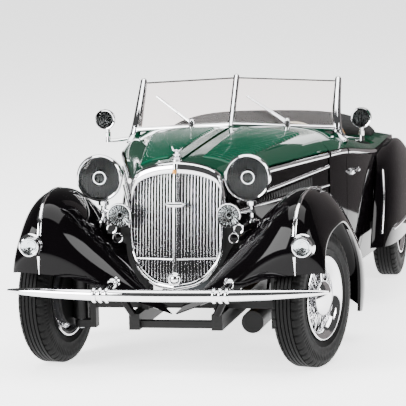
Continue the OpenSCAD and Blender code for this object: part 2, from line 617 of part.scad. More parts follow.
module tail_lamps() color("red") place() both()
    translate([30, tail_end - 9, 41.4]) rotate([-90, 0, 0]) {
        cylinder(r = 2, h = 2.2);
        rotate([180, 0, 0]) cylinder(r1 = 2, r2 = 0.6, h = 6);
        rod([0, 0.4, -3], [6, 12, -13], 0.7, 16);
    }

// ---- Bumpers ----

bar_z = 27.3;
function bar_y(x) = 8.6 * (abs(x) / 50) ^ 2.2;
bar_x = [for (k = [-12:12]) sign(k) * (half_w - 1.6) * (1 - (1 - abs(k) / 12) ^ 1.15)];
function bar_r(x) = max(bumper_d / 2 * (1 - (abs(x) / (half_w - 1.2)) ^ 2.6), 0.35);
front_bar_y = -front_overhang + bumper_d / 2 + 0.5;
rear_bar_y = wheelbase + rear_overhang - bumper_d / 2 - 0.5;
module bumper(dir) {
    tube_along([for (x = bar_x) [x, dir * bar_y(x), bar_z]], [for (x = bar_x) bar_r(x)], 14);
    both() for (k = [-1:1])
        translate([18.7 + 2 * k, dir * bar_y(18.7), bar_z]) rotate([0, 90, 0])
            cylinder(r = bumper_d / 2 + 0.5, h = 1.2, center = true);
}
module front_bumper() color("silver") place() translate([0, front_bar_y, 0]) bumper(1);
module rear_bumper() color("silver") place() translate([0, rear_bar_y, 0]) bumper(-1);
module bumper_brackets() color("silver") place() both() {
    rod([18.7, front_bar_y + bumper_d / 2 + 1.3, 27.3], [18.7, -19.4, 28.3], 1.1, 24);
    translate([18.7, -18, 28.4]) sphere(r = 1.9);
    rod([18.7, -17.4, 28], [13.4, -14, 18.2], 1.2, 24);
    rod([18.7, rear_bar_y - bumper_d / 2 - 1.2, 27.3], [18.7, wheelbase + 44, 28.5], 1.1, 24);
}

// ---- Windscreen ----

screen_base = [[0, 84, 67.9], [screen_hw - 2.9, 90.5, 65.9]];
function raked(p, angle, l) = p + l * [0, sin(angle), cos(angle)];
screen_top = [for (p = screen_base) raked(p, screen_rake, screen_l)];
module windscreen_glass() color("lightblue") place() both() {
    n = glass_t * [0, -cos(screen_rake), sin(screen_rake)] / 2;
    a = lerp(screen_base[0], screen_base[1], 0.04) + [0, 0, 0.3];
    b = lerp(screen_base[0], screen_base[1], 0.965) + [0, 0, 0.3];
    c = lerp(screen_top[0], screen_top[1], 0.965);
    d = lerp(screen_top[0], screen_top[1], 0.04);
    ring_solid([[for (q = [a, b, c, d]) q + n], [for (q = [a, b, c, d]) q - n]]);
}
module windscreen_frame() color("silver") place() {
    both() {
        rod([screen_hw, 93.2, 61.6], screen_top[1] + [0.4, 0.2, 0.5], 1.15, 24);
        for (k = [0:7]) {
            p = lerp(screen_base[0], screen_base[1], k / 8);
            q = lerp(screen_base[0], screen_base[1], (k + 1) / 8);
            rod(p, q + [0.03, 0, 0], 0.85, 12);
        }
    }
    rod(screen_base[0] - [0, 0.4, 0.6], screen_top[0] + [0, 0, 0.4], 0.95, 24);
}
module wipers() color("silver") place() {
    for (w = [[19.5, -14.7, 9.2, 3.8], [-14.5, -13.1, 9.2, 4.4]]) {
        foot = [w[0], 86.2, 68.4];
        tip = foot + [w[1], w[3], w[2]];
        rod(foot - [0, 0.2, 1.7], foot + [0, 0, 0.7], 1, 24);
        rod(foot, tip, 0.4, 12);
        rod(lerp(foot, tip, 0.42) - [0, 0.5, 0], tip - [0, 0.5, 0], 0.3, 12);
    }
}

// ---- Cabin ----

module dashboard() color("tan") place() {
    y0 = 94.4;
    translate([0, y0 + 1.6, 0]) rotate([90, 0, 0]) linear_extrude(height = 1.6)
        polygon(concat(
            [[-38, 49], [38, 49]],
            [for (k = [8:-1:-8]) [k * 38 / 8, top_h(k * 38 / 8, y0) - wall - 0.5]]));
    for (x = [-17, -5.5, 5.5, 17])
        translate([x, y0 + 1.5, 57]) rotate([-90, 0, 0]) cylinder(r = 2.7, h = 0.9);
}
wheel_at = [17, 117, 55.9];
column_tilt = 24.2;
module on_column() translate(wheel_at) rotate([column_tilt - 90, 0, 0]) children();
module steering_column() color("dimgray") place() on_column() {
    translate([0, 0, -43.2]) cylinder(r = 1.2, h = 41.6);
    translate([0, 0, -2]) cylinder(r = 0.75, h = 3);
}
module steering_wheel() color("ivory") place() on_column() difference() {
    union() {
        rotate_extrude() translate([steering_wheel_d / 2 - 0.7, 0]) circle(r = 0.7, $fn = 20);
        translate([0, 0, -1.2]) cylinder(r = 2.2, h = 2.6);
        for (k = [0:2]) rotate([0, 0, 120 * k + 90])
            rod([1.4, 0, 0], [steering_wheel_d / 2 - 0.9, 0, 0], 0.45, 12);
    }
    translate([0, 0, -2]) cylinder(r = 0.75 + run_gap, h = 3.1);
}
seat_hw = 31;
module cushion(side_profile)
    translate([-seat_hw, 0, 0]) rotate([90, 0, 90]) linear_extrude(height = 2 * seat_hw)
        polygon(side_profile);
module over_tunnel() difference() {
    children();
    block([-9, 110, 19], [9, 150, 31.3]);
}
module seat_cushion() color("tan") place() over_tunnel()
    cushion([[119, 19.8], [142.6, 19.8], [142.6, 36.5], [124, 39], [119.6, 38.2], [118.4, 35]]);
module seat_back() color("tan") place() over_tunnel()
    cushion([[143, 19.8], [146.4, 19.8], [146.6, 58], [145.2, 61.6], [143.2, 61.8], [141.4, 59],
        [140.4, 42], [142.9, 36]]);
module gear_lever() color("silver") place() {
    rod([0, 100, 31.2], [0, 106, 45], 0.6, 16);
    translate([0, 106, 45]) sphere(r = 1.4, $fn = 24);
    rod([6, 104, 21], [6, 108, 35], 0.55, 16);
}
top_middle = wheelbase - 23.3;
top_hw = side_x(top_middle) - 5.6;
function bow(x) = (1 - (abs(x) / (top_hw + 0.6)) ^ 4) ^ 0.5;
module folded_top() color("black") place() {
    xs = [for (k = [10:-1:-10]) top_hw * sin(9 * k)];
    ring_solid([for (x = xs)
        let(s = bow(x))
        concat(
            [for (du = [-11, 0, 12])
                [x, top_middle + du * (0.4 + 0.6 * s), top_h(x, top_middle + du) + 0.1]],
            [for (p = [[14.5, 1.6], [12.6, 4.4], [4, 7], [-5, 7.9], [-10, 7.2], [-12, 3.6]])
                [x, top_middle + p[0] * (0.4 + 0.6 * s), top_h(x, top_middle + p[0]) + 0.5 + p[1] * s]])]);
}

// ---- Strips on the body ----

function above_louvres(u) = lerp(51, 55, clamp(u / 75, 0, 1));
module side_trim() color("silver") place() both() {
    hood = [for (k = [0:10]) lerp(-1, 71, k / 10)];
    strip([for (u = hood) [side_x(u) + 0.45, u, belt_h(u) - 1.3]], 0.5, 0.7);
    strip([for (u = hood) if (u > 6) [side_x(u) + 0.45, u, above_louvres(u)]], 0.45, 0.6);
    strip([for (u = hood) [side_x(u) + 0.45, u, 48.4]], 0.45, 0.4);
    cowl = [for (k = [0:4]) lerp(73, door_front - 0.5, k / 4)];
    strip([for (u = cowl) [side_x(u) + 0.45, u, belt_h(u) - 1.2]], 0.5, 0.75);
}
module fender_trim() color("silver") place() both() {
    // Spears above and below each fender lamp
    g = surface_points([for (r = front_net) [for (p = r) fender_point(p)]], 26, 14);
    for (run = [[5, 13, 0.55], [1, 2, 0.35]])
        strip([for (i = [run[0]:run[1]]) g[i][6] + 0.25 * grid_normal(g, i, 6)], run[2], 0.3);
    // Leading edge and lower edge of the rear fender
    h = surface_points([for (r = rear_net) [for (p = r) rear_point(p)]], 22, 11);
    strip([for (j = [1:9]) h[1][j] + 0.3 * grid_normal(h, 1, j)], 0.5, 0.35);
    strip([for (i = [3:20]) h[i][1] + 0.3 * grid_normal(h, i, 1)], 0.35, 0.6);
}

// ---- Chassis and engine ----

rail_x = 11.5;
module chassis_frame() color("dimgray") place() {
    both() {
        block([rail_x, -13.5, 13], [rail_x + 3.4, wheelbase - 22, 18]);
        block([rail_x, wheelbase - 22, 13], [rail_x + 3.4, wheelbase - 18.6, 30.6]);
        block([rail_x, wheelbase - 22, 26], [rail_x + 3.4, wheelbase + 42, 30.6]);
    }
    for (u = [-12, 66, 120, wheelbase - 25]) block([-rail_x - 1, u, 13.4], [rail_x + 1, u + 3, 15.6]);
    for (u = [wheelbase - 14, wheelbase + 36]) block([-rail_x - 1, u, 26.5], [rail_x + 1, u + 3, 30]);
}
module floor_pan() color("black") place() {
    difference() {
        translate([0, 0, 18]) linear_extrude(height = 1.8)
            polygon([[-33.8, 78.6], [33.8, 78.6], [40, 112], [40.4, 152], [-40.4, 152], [-40, 112]]);
        block([-7.5, 70, 18], [7.5, 147, 25]);
    }
    both() block([7.6, 78.8, 19.6], [8.6, 147, 31]);
    block([-8.6, 78.8, 30], [8.6, 147, 31]);
    difference() {
        block([-32, 151, 19.6], [32, 152.2, 34]);
        block([-8, 150, 19], [8, 153, 31]);
    }
    block([-29, 151, 33], [29, wheelbase + 36, 34.2]);
    both() difference() {
        // Rear wheel housings
        block([31, wheelbase - tyre_r - 3.2, 18], [32, wheelbase + tyre_r + 3.2, 46.6]);
        translate([0, wheelbase, tyre_r]) x_cyl(4, 30, 33);
    }
}
kingpin_x = half_track - 8;
module front_axle() color("dimgray") place() {
    block([-kingpin_x + 5.2, -1.6, 18], [kingpin_x - 5.2, 1.6, 21.4]);
    both() difference() {
        union() {
            block([kingpin_x - 5.4, -2, 11.6], [kingpin_x - 3.6, 2, 32]);
            for (z = [11.6, 29.6]) {
                block([kingpin_x - 4, -2, z], [kingpin_x, 2, z + 2.4]);
                translate([kingpin_x, 0, z]) cylinder(r = 2, h = 2.4);
            }
        }
        translate([kingpin_x, 0, 10]) cylinder(r = kingpin_d / 2 + 0.01, h = 24);
    }
}
module kingpins() color("silver") place() both() translate([kingpin_x, 0, 11.2]) {
    cylinder(r = kingpin_d / 2, h = 21.4);
    translate([0, 0, 20.9]) cylinder(r = kingpin_d / 2 + 0.5, h = 0.7);
}
module rear_axle() color("dimgray") place() translate([0, wheelbase, tyre_r]) {
    sphere(r = 6);
    both() {
        x_cyl(1.7, 5, half_track - 5.3);
        x_cyl(stub_d / 2, half_track - 6, half_track + 3.6);
        x_cyl(9.6, half_track - 5.6, half_track - 4.6);
        block([rail_x + 0.4, -2.4, 0], [rail_x + 3, 2.4, 26 - tyre_r]);
    }
    rotate([90, 0, 0]) cylinder(r1 = 4, r2 = 2, h = 10);
}
module engine_block() color("slategray") place() {
    block([-6.8, 16, 23], [6.8, 58, 40]);
    block([-5, 19, 16.4], [5, 54, 23]);
    for (u = [24, 46]) both() block([4.8, u, 16.6], [rail_x, u + 3, 18]);
    translate([0, 58, 30]) rotate([-90, 0, 0]) cylinder(r = 7, h = 4);
    translate([0, 16, 34]) rotate([90, 0, 0]) cylinder(r = 3.4, h = 1.6);
    translate([0, 16, 25]) rotate([90, 0, 0]) cylinder(r = 2.6, h = 1.6);
    cylinder_head();
}
module gearbox() color("gray") place() {
    block([-5, 62, 17.6], [5, 84, 28]);
    translate([0, 84, 22.4]) rotate([-90, 0, 0]) cylinder(r = 3.6, h = 8.4);
}
module cylinder_head() {
    block([-5.6, 17, 39.9], [5.6, 57, 44.4]);
    for (k = [0:7]) translate([3.4, 20 + 4.9 * k, 44.4]) cylinder(r = 0.6, h = 2, $fn = 16);
    block([-4.6, 18.5, 44.4], [0.8, 55.5, 45.6]);
}
module exhaust_manifold() {
    rod([9.6, 18, 36], [9.6, 57, 36], 1.5, 24);
    for (k = [0:3]) rod([6.9, 22 + 10 * k, 37], [9.6, 22 + 10 * k, 36], 1, 16);
    rod([9.6, 56, 36], [9.8, 60, 24], 1.3, 24);
}
module exhaust_system() color("dimgray") place() {
    exhaust_manifold();
    rod([9.8, 60, 24], [9.8, 60, 11.4], 1.25, 24);
    rod([9.8, 60, 11.4], [20, 63, 11.4], 1.25, 24);
    translate([20, 10, 11.6]) rotate([-90, 0, 0]) cylinder(r = 3.6, h = 56);
    rod([20, 65, 11.6], [20, wheelbase + 60, 11.6], 1.2, 24);
}

// ---- Steering and wheels ----

// Frame of a front wheel: origin at its centre, +X outwards from the car
module steered(side, angle) translate([side * kingpin_x, 0, tyre_r]) rotate([0, 0, -angle])
    scale([side, 1, 1]) translate([8, 0, 0]) children();
arm_z = 17;
module knuckle() {
    difference() {
        union() {
            translate([-8, 0, 14.4 - tyre_r]) cylinder(r = 2.4, h = 14.8);
            x_cyl(stub_d / 2, -7, 3.6);
        }
        translate([-8, 0, -12]) cylinder(r = kingpin_d / 2 + run_gap, h = 24);
    }
    x_cyl(2, -6.2, -5);
    x_cyl(9.6, -5.6, -4.6);
    block([-8.6, 2.2, arm_z - tyre_r], [-7.4, steer_arm + 1, arm_z + 1.4 - tyre_r]);
}
module knuckle_left() color("dimgray") place() steered(1, steer_left) knuckle();
module knuckle_right() color("dimgray") place() steered(-1, steer_right) knuckle();
module tie_rod() color("silver") place() {
    y = steer_arm * cos(steer_left);
    left = kingpin_x + steer_arm * sin(steer_left);
    right = -kingpin_x + steer_arm * sin(steer_right);
    rod([right, y, arm_z + 2.8], [left, y, arm_z + 2.8], 0.7, 24);
    for (x = [left, right]) translate([x, y, arm_z + 1.7]) cylinder(r = 1.3, h = 1.9);
}
module tyre() rotate([0, 90, 0]) rotate_extrude($fn = 72) difference() {
    hw = tyre_w / 2;
    r = rim_d / 2;
    polygon(concat(
        [[r - 1.42, -hw + 1.65], [r + 0.25, -hw + 0.9], [r + 2.4, -hw + 0.15], [tyre_r - 4.2, -hw],
            [tyre_r - 1.6, -hw + 0.5], [tyre_r - 0.35, -hw + 1.3]],
        [[tyre_r, -hw + 2.4], [tyre_r, hw - 2.4]],
        [[tyre_r - 0.35, hw - 1.3], [tyre_r - 1.6, hw - 0.5], [tyre_r - 4.2, hw],
            [r + 2.4, hw - 0.15], [r + 0.25, hw - 0.9], [r - 1.42, hw - 1.65]]));
    for (k = [-2:2]) translate([tyre_r - 0.5, 1.25 * k - 0.15]) square([1, 0.3]);
}
module wheel() {
    r = rim_d / 2;
    hw = tyre_w / 2;
    difference() {
        union() {
            rotate([0, 90, 0]) rotate_extrude($fn = 72)
                polygon([
                    [r - 2.4, -hw + 2.2], [r - 1.4, -hw + 1.7], [r - 1.4, -hw + 1.3], [r, -hw + 0.55],
                    [r, -hw + 0.25], [r - 0.5, -hw + 0.25], [r - 2.2, -hw + 1],
                    [r - 3, -hw + 2.8], [r - 3, hw - 2.8], [r - 2.2, hw - 1], [r - 0.5, hw - 0.25],
                    [r, hw - 0.25], [r, hw - 0.55], [r - 1.4, hw - 1.3], [r - 1.4, hw - 1.7],
                    [r - 2.4, hw - 2.2]]);
            x_cyl(3.2, -2, 1);
            x_cyl(2.5, 1, 4.2);
            // Brake drum
            rotate([0, 90, 0]) rotate_extrude($fn = 48)
                polygon([[2, -4.2], [9.2, -4.2], [9.2, -1.9], [2, -1.5]]);
            for (row = [[1, -0.4, 11], [-1, 2.6, -11]])
                for (k = [0:spokes - 1]) rotate([360 * (k + row[0] / 4) / spokes, 0, 0])
                    rod([row[1], 2.2 * sin(row[2] * 4), 2.2 * cos(row[2] * 4)], [0.8, 0, r - 2.6],
                        0.28, 5);
        }
        x_cyl(stub_d / 2 + run_gap, -5, 3.8);
    }
    hub_cap();
}
module hub_cap() rotate([0, 90, 0]) rotate_extrude() {
    r = hub_cap_d / 2;
    polygon([[0, 4.2], [2.6, 4.2], [2.6, 3.4], [r, 3.4], [r, 3.9], [r * 0.82, 4.9], [r * 0.45, 5.6],
        [0, 5.8]]);
}
module at_rear(side) translate([side * half_track, wheelbase, tyre_r]) scale([side, 1, 1]) children();
module tyre_front_left() color("black") place() steered(1, steer_left) tyre();
module tyre_front_right() color("black") place() steered(-1, steer_right) tyre();
module tyre_rear_left() color("black") place() at_rear(1) tyre();
module tyre_rear_right() color("black") place() at_rear(-1) tyre();
module wheel_front_left() color("silver") place() steered(1, steer_left) wheel();
module wheel_front_right() color("silver") place() steered(-1, steer_right) wheel();
module wheel_rear_left() color("silver") place() at_rear(1) wheel();
module wheel_rear_right() color("silver") place() at_rear(-1) wheel();

// ---- Pieces ----

chassis_frame();
floor_pan();
front_axle();
kingpins();
rear_axle();
engine_block();
gearbox();
exhaust_system();
radiator_core();
body_shell();
front_fender_left();
front_fender_right();
rear_fender_left();
rear_fender_right();
hood_side_left();
hood_side_right();
grille_shell();
grille_bars();
radiator_mascot();
headlamp_buckets();
headlamp_rims();
lamp_lenses();
lamp_stalks();
fog_lamps();
fender_lamps();
tail_lamps();
front_bumper();
rear_bumper();
bumper_brackets();
windscreen_frame();
windscreen_glass();
wipers();
search_lamps();
dashboard();
steering_column();
seat_cushion();
seat_back();
folded_top();
gear_lever();
side_trim();
fender_trim();
steering_wheel();
knuckle_left();
knuckle_right();
tie_rod();
tyre_front_left();
tyre_front_right();
tyre_rear_left();
tyre_rear_right();
wheel_front_left();
wheel_front_right();
wheel_rear_left();
wheel_rear_right();
door_left();
door_right();
door_trim_left();
door_trim_right();
bonnet_left();
bonnet_right();
boot_lid();
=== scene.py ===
import math
import bpy
import numpy as np
from mathutils import Matrix, Vector


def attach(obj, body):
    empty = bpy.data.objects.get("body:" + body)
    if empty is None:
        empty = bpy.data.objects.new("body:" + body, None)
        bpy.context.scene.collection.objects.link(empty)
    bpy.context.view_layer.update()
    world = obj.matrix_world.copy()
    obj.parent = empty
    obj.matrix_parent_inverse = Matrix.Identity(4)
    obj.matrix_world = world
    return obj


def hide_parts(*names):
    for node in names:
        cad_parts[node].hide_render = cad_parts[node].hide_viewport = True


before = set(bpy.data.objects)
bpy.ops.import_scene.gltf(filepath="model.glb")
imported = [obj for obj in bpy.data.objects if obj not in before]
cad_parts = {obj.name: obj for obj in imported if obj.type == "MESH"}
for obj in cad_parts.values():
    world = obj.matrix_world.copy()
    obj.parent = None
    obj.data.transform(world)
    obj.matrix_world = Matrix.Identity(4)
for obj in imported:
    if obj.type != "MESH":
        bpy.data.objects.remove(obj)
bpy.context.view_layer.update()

# ---- Front fenders ----
# Each is one zinc casting, painted gloss black. It sweeps from the apron under the radiator over
# the wheel to the running board, and screws up to the chassis from below.
# Points are in millimetres: x to the car's left, u back from the front axle, z up from the ground.
# FRONT_AXLE is where u is 0, as a y of the frame. WALL is the thickness of a casting.
FRONT_AXLE = -107.5
WHEELBASE = 183.3
WALL = 1.0


def srgb(text):
    """A hex colour as linear red, green, blue and alpha."""
    values = [int(text[i : i + 2], 16) / 255 for i in (1, 3, 5)]
    return [v / 12.92 if v <= 0.04045 else ((v + 0.055) / 1.055) ** 2.4 for v in values] + [1.0]


def add_node(tree, kind, settings=None, values=None, links=None):
    """A shader node with its settings, socket values and incoming links."""
    made = tree.nodes.new(kind)
    for key, value in (settings or {}).items():
        setattr(made, key, value)
    for key, value in (values or {}).items():
        made.inputs[key].default_value = value
    for key, source in (links or {}).items():
        tree.links.new(source, made.inputs[key])
    return made


def new_material(name, **values):
    """A material with one principled surface; returns it, its tree and the surface node."""
    material = bpy.data.materials.new(name)
    material.use_nodes = True
    tree = material.node_tree
    surface = tree.nodes["Principled BSDF"]
    for key, value in values.items():
        surface.inputs[key.replace("_", " ")].default_value = value
    return material, tree, surface


def in_mm(tree):
    """Object position in millimetres, as a vector output."""
    place = add_node(tree, "ShaderNodeTexCoord")
    scale = add_node(tree, "ShaderNodeVectorMath", {"operation": "SCALE"}, {"Scale": 1000.0},
                     {0: place.outputs["Object"]})
    return scale.outputs[0]


def raised(tree, surface, height, strength, distance):
    """Bumps on a surface from a height output; distance is in metres."""
    values = {"Strength": strength, "Distance": distance}
    bump = add_node(tree, "ShaderNodeBump", None, values, {"Height": height})
    tree.links.new(bump.outputs[0], surface.inputs["Normal"])


def paint(name, colour, gloss, roughness=0.05):
    """Stoved gloss enamel with the faint waviness of a sprayed casting."""
    material, tree, surface = new_material(
        name, Base_Color=srgb(colour), Roughness=roughness, Specular_IOR_Level=gloss)
    wave = add_node(tree, "ShaderNodeTexNoise", None, {"Scale": 0.35, "Detail": 1.0}, {"Vector": in_mm(tree)})
    raised(tree, surface, wave.outputs["Fac"], 0.12, 0.00002)
    return material


def knot(i, n):
    return min(max(i - 3, 0), n - 3)


def weight(i, degree, t, n):
    """Value of one clamped B-spline basis function."""
    if degree == 0:
        return 1.0 if knot(i, n) <= t < knot(i + 1, n) else 0.0
    a = knot(i + degree, n) - knot(i, n)
    b = knot(i + degree + 1, n) - knot(i + 1, n)
    value = 0.0
    if a:
        value += (t - knot(i, n)) / a * weight(i, degree - 1, t, n)
    if b:
        value += (knot(i + degree + 1, n) - t) / b * weight(i + 1, degree - 1, t, n)
    return value


def spline_surface(net, rows, cols):
    """A grid of points on the cubic B-spline surface of a control net."""
    net = np.array(net, float)

    def basis(n, steps):
        shares = [min(k / steps * (n - 3), n - 3 - 1e-6) for k in range(steps + 1)]
        return np.array([[weight(i, 3, t, n) for i in range(n)] for t in shares])

    return np.einsum("ia,abk,jb->ijk", basis(len(net), rows), net, basis(len(net[0]), cols))


def unit(v):
    return v / np.maximum(np.linalg.norm(v, axis=-1, keepdims=True), 1e-9)


def grid_normals(grid):
    return unit(np.cross(np.gradient(grid, axis=0), np.gradient(grid, axis=1)))


def quads(n, m, start=0, wrap_rows=False, wrap_cols=False, flip=False):
    """Faces of a grid of n by m points."""
    faces = []
    for i in range(n if wrap_rows else n - 1):
        for j in range(m if wrap_cols else m - 1):
            a, b = i * m + j, i * m + (j + 1) % m
            c, d = ((i + 1) % n) * m + (j + 1) % m, ((i + 1) % n) * m + j
            face = (start + a, start + d, start + c, start + b)
            faces.append(face[::-1] if flip else face)
    return faces


def shell(grid, thickness=WALL):
    """A closed sheet under a grid whose normals point outwards."""
    grid = np.asarray(grid, float)
    n, m = grid.shape[:2]
    inner = grid - thickness * grid_normals(grid)
    points = np.concatenate([grid.reshape(-1, 3), inner.reshape(-1, 3)])
    k = n * m
    faces = quads(n, m) + quads(n, m, k, flip=True)
    for j in range(m - 1):
        faces.append((j, j + 1, k + j + 1, k + j))
        a = (n - 1) * m + j
        faces.append((a + 1, a, k + a, k + a + 1))
    for i in range(n - 1):
        a, b = i * m, (i + 1) * m
        faces.append((b, a, k + a, k + b))
        a, b = a + m - 1, b + m - 1
        faces.append((a, b, k + b, k + a))
    return points, faces


def mirrored(part):
    points, faces = part
    return points * np.array([-1, 1, 1]), [f[::-1] for f in faces]


def both(parts):
    return parts + [mirrored(p) for p in parts]


def piece(name, parts, material, body, replaces=(), sharp=38):
    """One object from several (points, faces) parts, in millimetres from the front axle."""
    points = np.concatenate([np.asarray(p[0], float) for p in parts])
    faces, start = [], 0
    for p in parts:
        faces += [tuple(start + k for k in f) for f in p[1]]
        start += len(p[0])
    place = (points + np.array([0, FRONT_AXLE, 0])) / 1000
    mesh = bpy.data.meshes.new(name)
    mesh.from_pydata(place.tolist(), [], faces)
    mesh.polygons.foreach_set("use_smooth", [True] * len(mesh.polygons))
    mesh.update()
    mesh.set_sharp_from_angle(angle=math.radians(sharp))
    mesh.materials.append(material)
    made = bpy.data.objects.new(name, mesh)
    bpy.context.scene.collection.objects.link(made)
    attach(made, body)
    if replaces:
        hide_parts(*replaces)
    return made


def along(table, u):
    """Smooth curve through a table of (station, value), at one or many stations."""
    xs, ys = np.array(table, float).T
    after, before = np.minimum(np.arange(len(xs)) + 1, len(xs) - 1), np.maximum(np.arange(len(xs)) - 1, 0)
    slopes = (ys[after] - ys[before]) / (xs[after] - xs[before])
    u = np.asarray(u, float)
    i = np.clip(np.searchsorted(xs, u, side="right") - 1, 0, len(xs) - 2)
    h = xs[i + 1] - xs[i]
    s = np.clip((u - xs[i]) / h, 0, 1)
    return ((2 * s**3 - 3 * s**2 + 1) * ys[i] + (s**3 - 2 * s**2 + s) * slopes[i] * h
            + (3 * s**2 - 2 * s**3) * ys[i + 1] + (s**3 - s**2) * slopes[i + 1] * h)


NOSE, COWL, BELT, SILL = 15.2, 37.3, 59.8, 16.5
TAIL = WHEELBASE + 62.5
SIDE_PLAN = [(-4, NOSE), (20, NOSE + 0.29 * (COWL - NOSE)), (46, NOSE + 0.615 * (COWL - NOSE)), (78, COWL)]
SIDE_PLAN += [(96, COWL + 3.4), (116, COWL + 5.6)]
SIDE_PLAN += [(WHEELBASE + du, COWL + dx) for du, dx in
              [(-45, 6.9), (-18, 7), (12, 4.4), (32, -1), (47, -9), (57, -17.5), (62.5, -25)]]
BELT_LINE = [(-4, BELT), (78, BELT), (92, BELT - 0.8), (110, BELT - 3)]
BELT_LINE += [(WHEELBASE + du, BELT + dz) for du, dz in
              [(-53, -5), (-33, -4.4), (-15, -4.2), (5, -6.5), (25, -13), (45, -25), (62.5, -36.5)]]


def side_x(u):
    return along(SIDE_PLAN, u)


def belt_z(u):
    return along(BELT_LINE, u)


def flank_x(u, z):
    low = np.clip((belt_z(u) - z) / (belt_z(u) - SILL), 0, 1)
    return side_x(u) + 0.8 * low * (1 - low) - 1.8 * low**3


def beside(u, z):
    """A point just outside the hood."""
    return [float(side_x(u)) + 0.5, u, z]


def against(u, z):
    """A point just outside the body's flank."""
    return [float(flank_x(u, z)) + 0.5, u, z]


def on_both_sides(name, part, material, **more):
    """A body-black piece on the left of the car and its mirror image on the right."""
    for side in ("left", "right"):
        piece(f"{name}_{side}", [part if side == "left" else mirrored(part)], material, "car_body",
              [f"{more['node']}_{side}"], sharp=more.get("sharp", 38))


# Rows run from the lower front edge over the wheel to the tail, columns from the arch lip over
# the crown to the hood
front_net = [
    [[49.2, -22.4, 32.4], [49.4, -23, 32.6], [47.6, -24.4, 32.8], [41.8, -25.2, 32.6],
     [33, -23.8, 31.6], [23.5, -20.6, 28.4], [12, -16.8, 22.6], [0.5, -15.2, 18.6]],
    [[49, -21.6, 36.6], [49.2, -22.4, 37.2], [47.6, -25.4, 38.6], [41.8, -26.4, 39],
     [32.5, -24.8, 37.4], [23, -20.4, 33], [13.2, -16.4, 26.2], [4.5, -14.6, 22.4]],
    [[48.6, -17, 40.6], [48.8, -17.8, 41.6], [46.4, -22.4, 45.6], [41.6, -25, 47.6],
     [33, -23, 45.6], [23.6, -18, 38.2], [15, -14.8, 31], [9.8, -13.6, 26.4]],
    [[49.4, -9.5, 43.9], [49.4, -10.2, 45.2], [46.6, -14.6, 50.4], [42, -18, 55.2],
     [34.6, -17, 54], [25, -13.4, 44.6], [18.4, -11.6, 37.4], [15, -10.8, 33.2]],
    [[50.8, 0.5, 45.3], [50.9, 0.2, 46.8], [47.8, -1.5, 51.6], [42.4, -3, 57],
     [35, -3, 56.6], [27.5, -3, 48.6], [21.2, -4, 42], [17.4, -5, 39.4]],
    [[50.6, 9, 44], [51.2, 9.2, 45.4], [48.4, 10.2, 50.6], [43, 11, 56],
     [36, 10.6, 55.2], [29.6, 9.6, 48], [24.4, 8.6, 43], beside(8, 41.2)],
    [[50.6, 20, 40], [51, 20.6, 41.6], [48.2, 23, 47], [43.4, 25, 53],
     [37.5, 24, 52.4], [32, 22.4, 46.6], [28, 21, 43.2], beside(20.5, 42)],
    [[50.6, 29, 35], [51.2, 30, 36.4], [49, 33.4, 40.6], [45, 36, 46],
     [39.6, 35, 45.6], [34.8, 33.2, 42.4], [31.8, 32.6, 41], beside(32, 40.4)],
    [[51, 35.4, 28.6], [51.8, 37, 30], [50.4, 43, 33], [46.8, 46.4, 37],
     [41.8, 46, 37], [38.2, 45.4, 36.8], [35.2, 44.8, 36.6], beside(44, 36)],
    [[51.2, 37.8, 21.6], [52.4, 41, 22.6], [51.2, 50.6, 24], [48, 54.6, 25.4],
     [43.6, 55, 25.8], [40.2, 55, 26.6], [37.6, 55, 27.2], beside(54.6, 27.6)],
    [[51, 38, 14.6], [52, 42, 14.4], [51, 51.6, 15.2], [48.2, 55, 16],
     [44.2, 56, 16.8], [41, 56.6, 18], [38.6, 57, 19], beside(57.5, 20)],
    [[50.6, 38.6, 10.4], [51.2, 42.4, 9.9], [50.2, 48.4, 10.2], [47.8, 51.8, 10.8],
     [44.6, 53.6, 12.2], [41.8, 55, 14], [39.4, 56, 15.6], beside(57.5, 17.2)],
]
# Black enamel sprayed over zinc: deep, with a weak mirror image
black_paint = paint("black_enamel_gloss", "#050405", 0.12)
front_grid = spline_surface(front_net, 132, 84)
on_both_sides("fender_front", shell(front_grid), black_paint, node="front_fender")

# ---- Rear fenders ----
# Skirted castings in the same enamel, screwed to the body's flanks. They cover the top half of
# the rear wheels.
rear_net = [
    [[44.6, 112, 20.6], [44.8, 114, 26], [44.9, 118, 33], [45.1, 122.5, 40.4], [45.3, 127, 47],
     against(131, 52)],
    [[49.6, 114.5, 20.4], [50.4, 117.6, 27], [50.4, 122, 35], [49.6, 127, 42.8],
     [47.8, 132.6, 49.8], against(136, 53)],
    [[52.6, 126, 20.2], [53.6, 128.4, 28], [53.4, 132, 38], [51.8, 137, 47], [48.4, 143, 54.6],
     against(147, 54)],
    [[53, 148, 20.2], [54.1, 149, 30], [53.6, 151, 41], [51.6, 154, 50.6], [48, 158, 57.2],
     against(161, 54.4)],
    [[53, 172, 20.2], [54.1, 172, 30], [53.6, 173, 40.6], [51.4, 175, 49.4], [47.4, 177, 55.4],
     against(178, 53.4)],
    [[52.6, 197, 20], [53.5, 197, 28.6], [52.6, 196.6, 38], [49.8, 196, 45.8], [45.6, 196, 51.2],
     against(196, 49.8)],
    [[51, 217, 19], [51.6, 217, 26], [50.2, 216, 33], [47, 214.6, 39.4], [42.4, 213.4, 44.2],
     against(212.4, 43)],
    [[47.4, 231, 18], [47.6, 231, 22.6], [45.8, 230, 27.6], [42.2, 228.6, 32.4], [37, 227.4, 35.6],
     against(226.6, 34.4)],
    [[41.6, 238.6, 17.4], [41.4, 238.6, 20], [39.6, 238, 23], [36, 237.2, 26], [31.6, 236.4, 28.2],
     against(235.6, 28)],
]
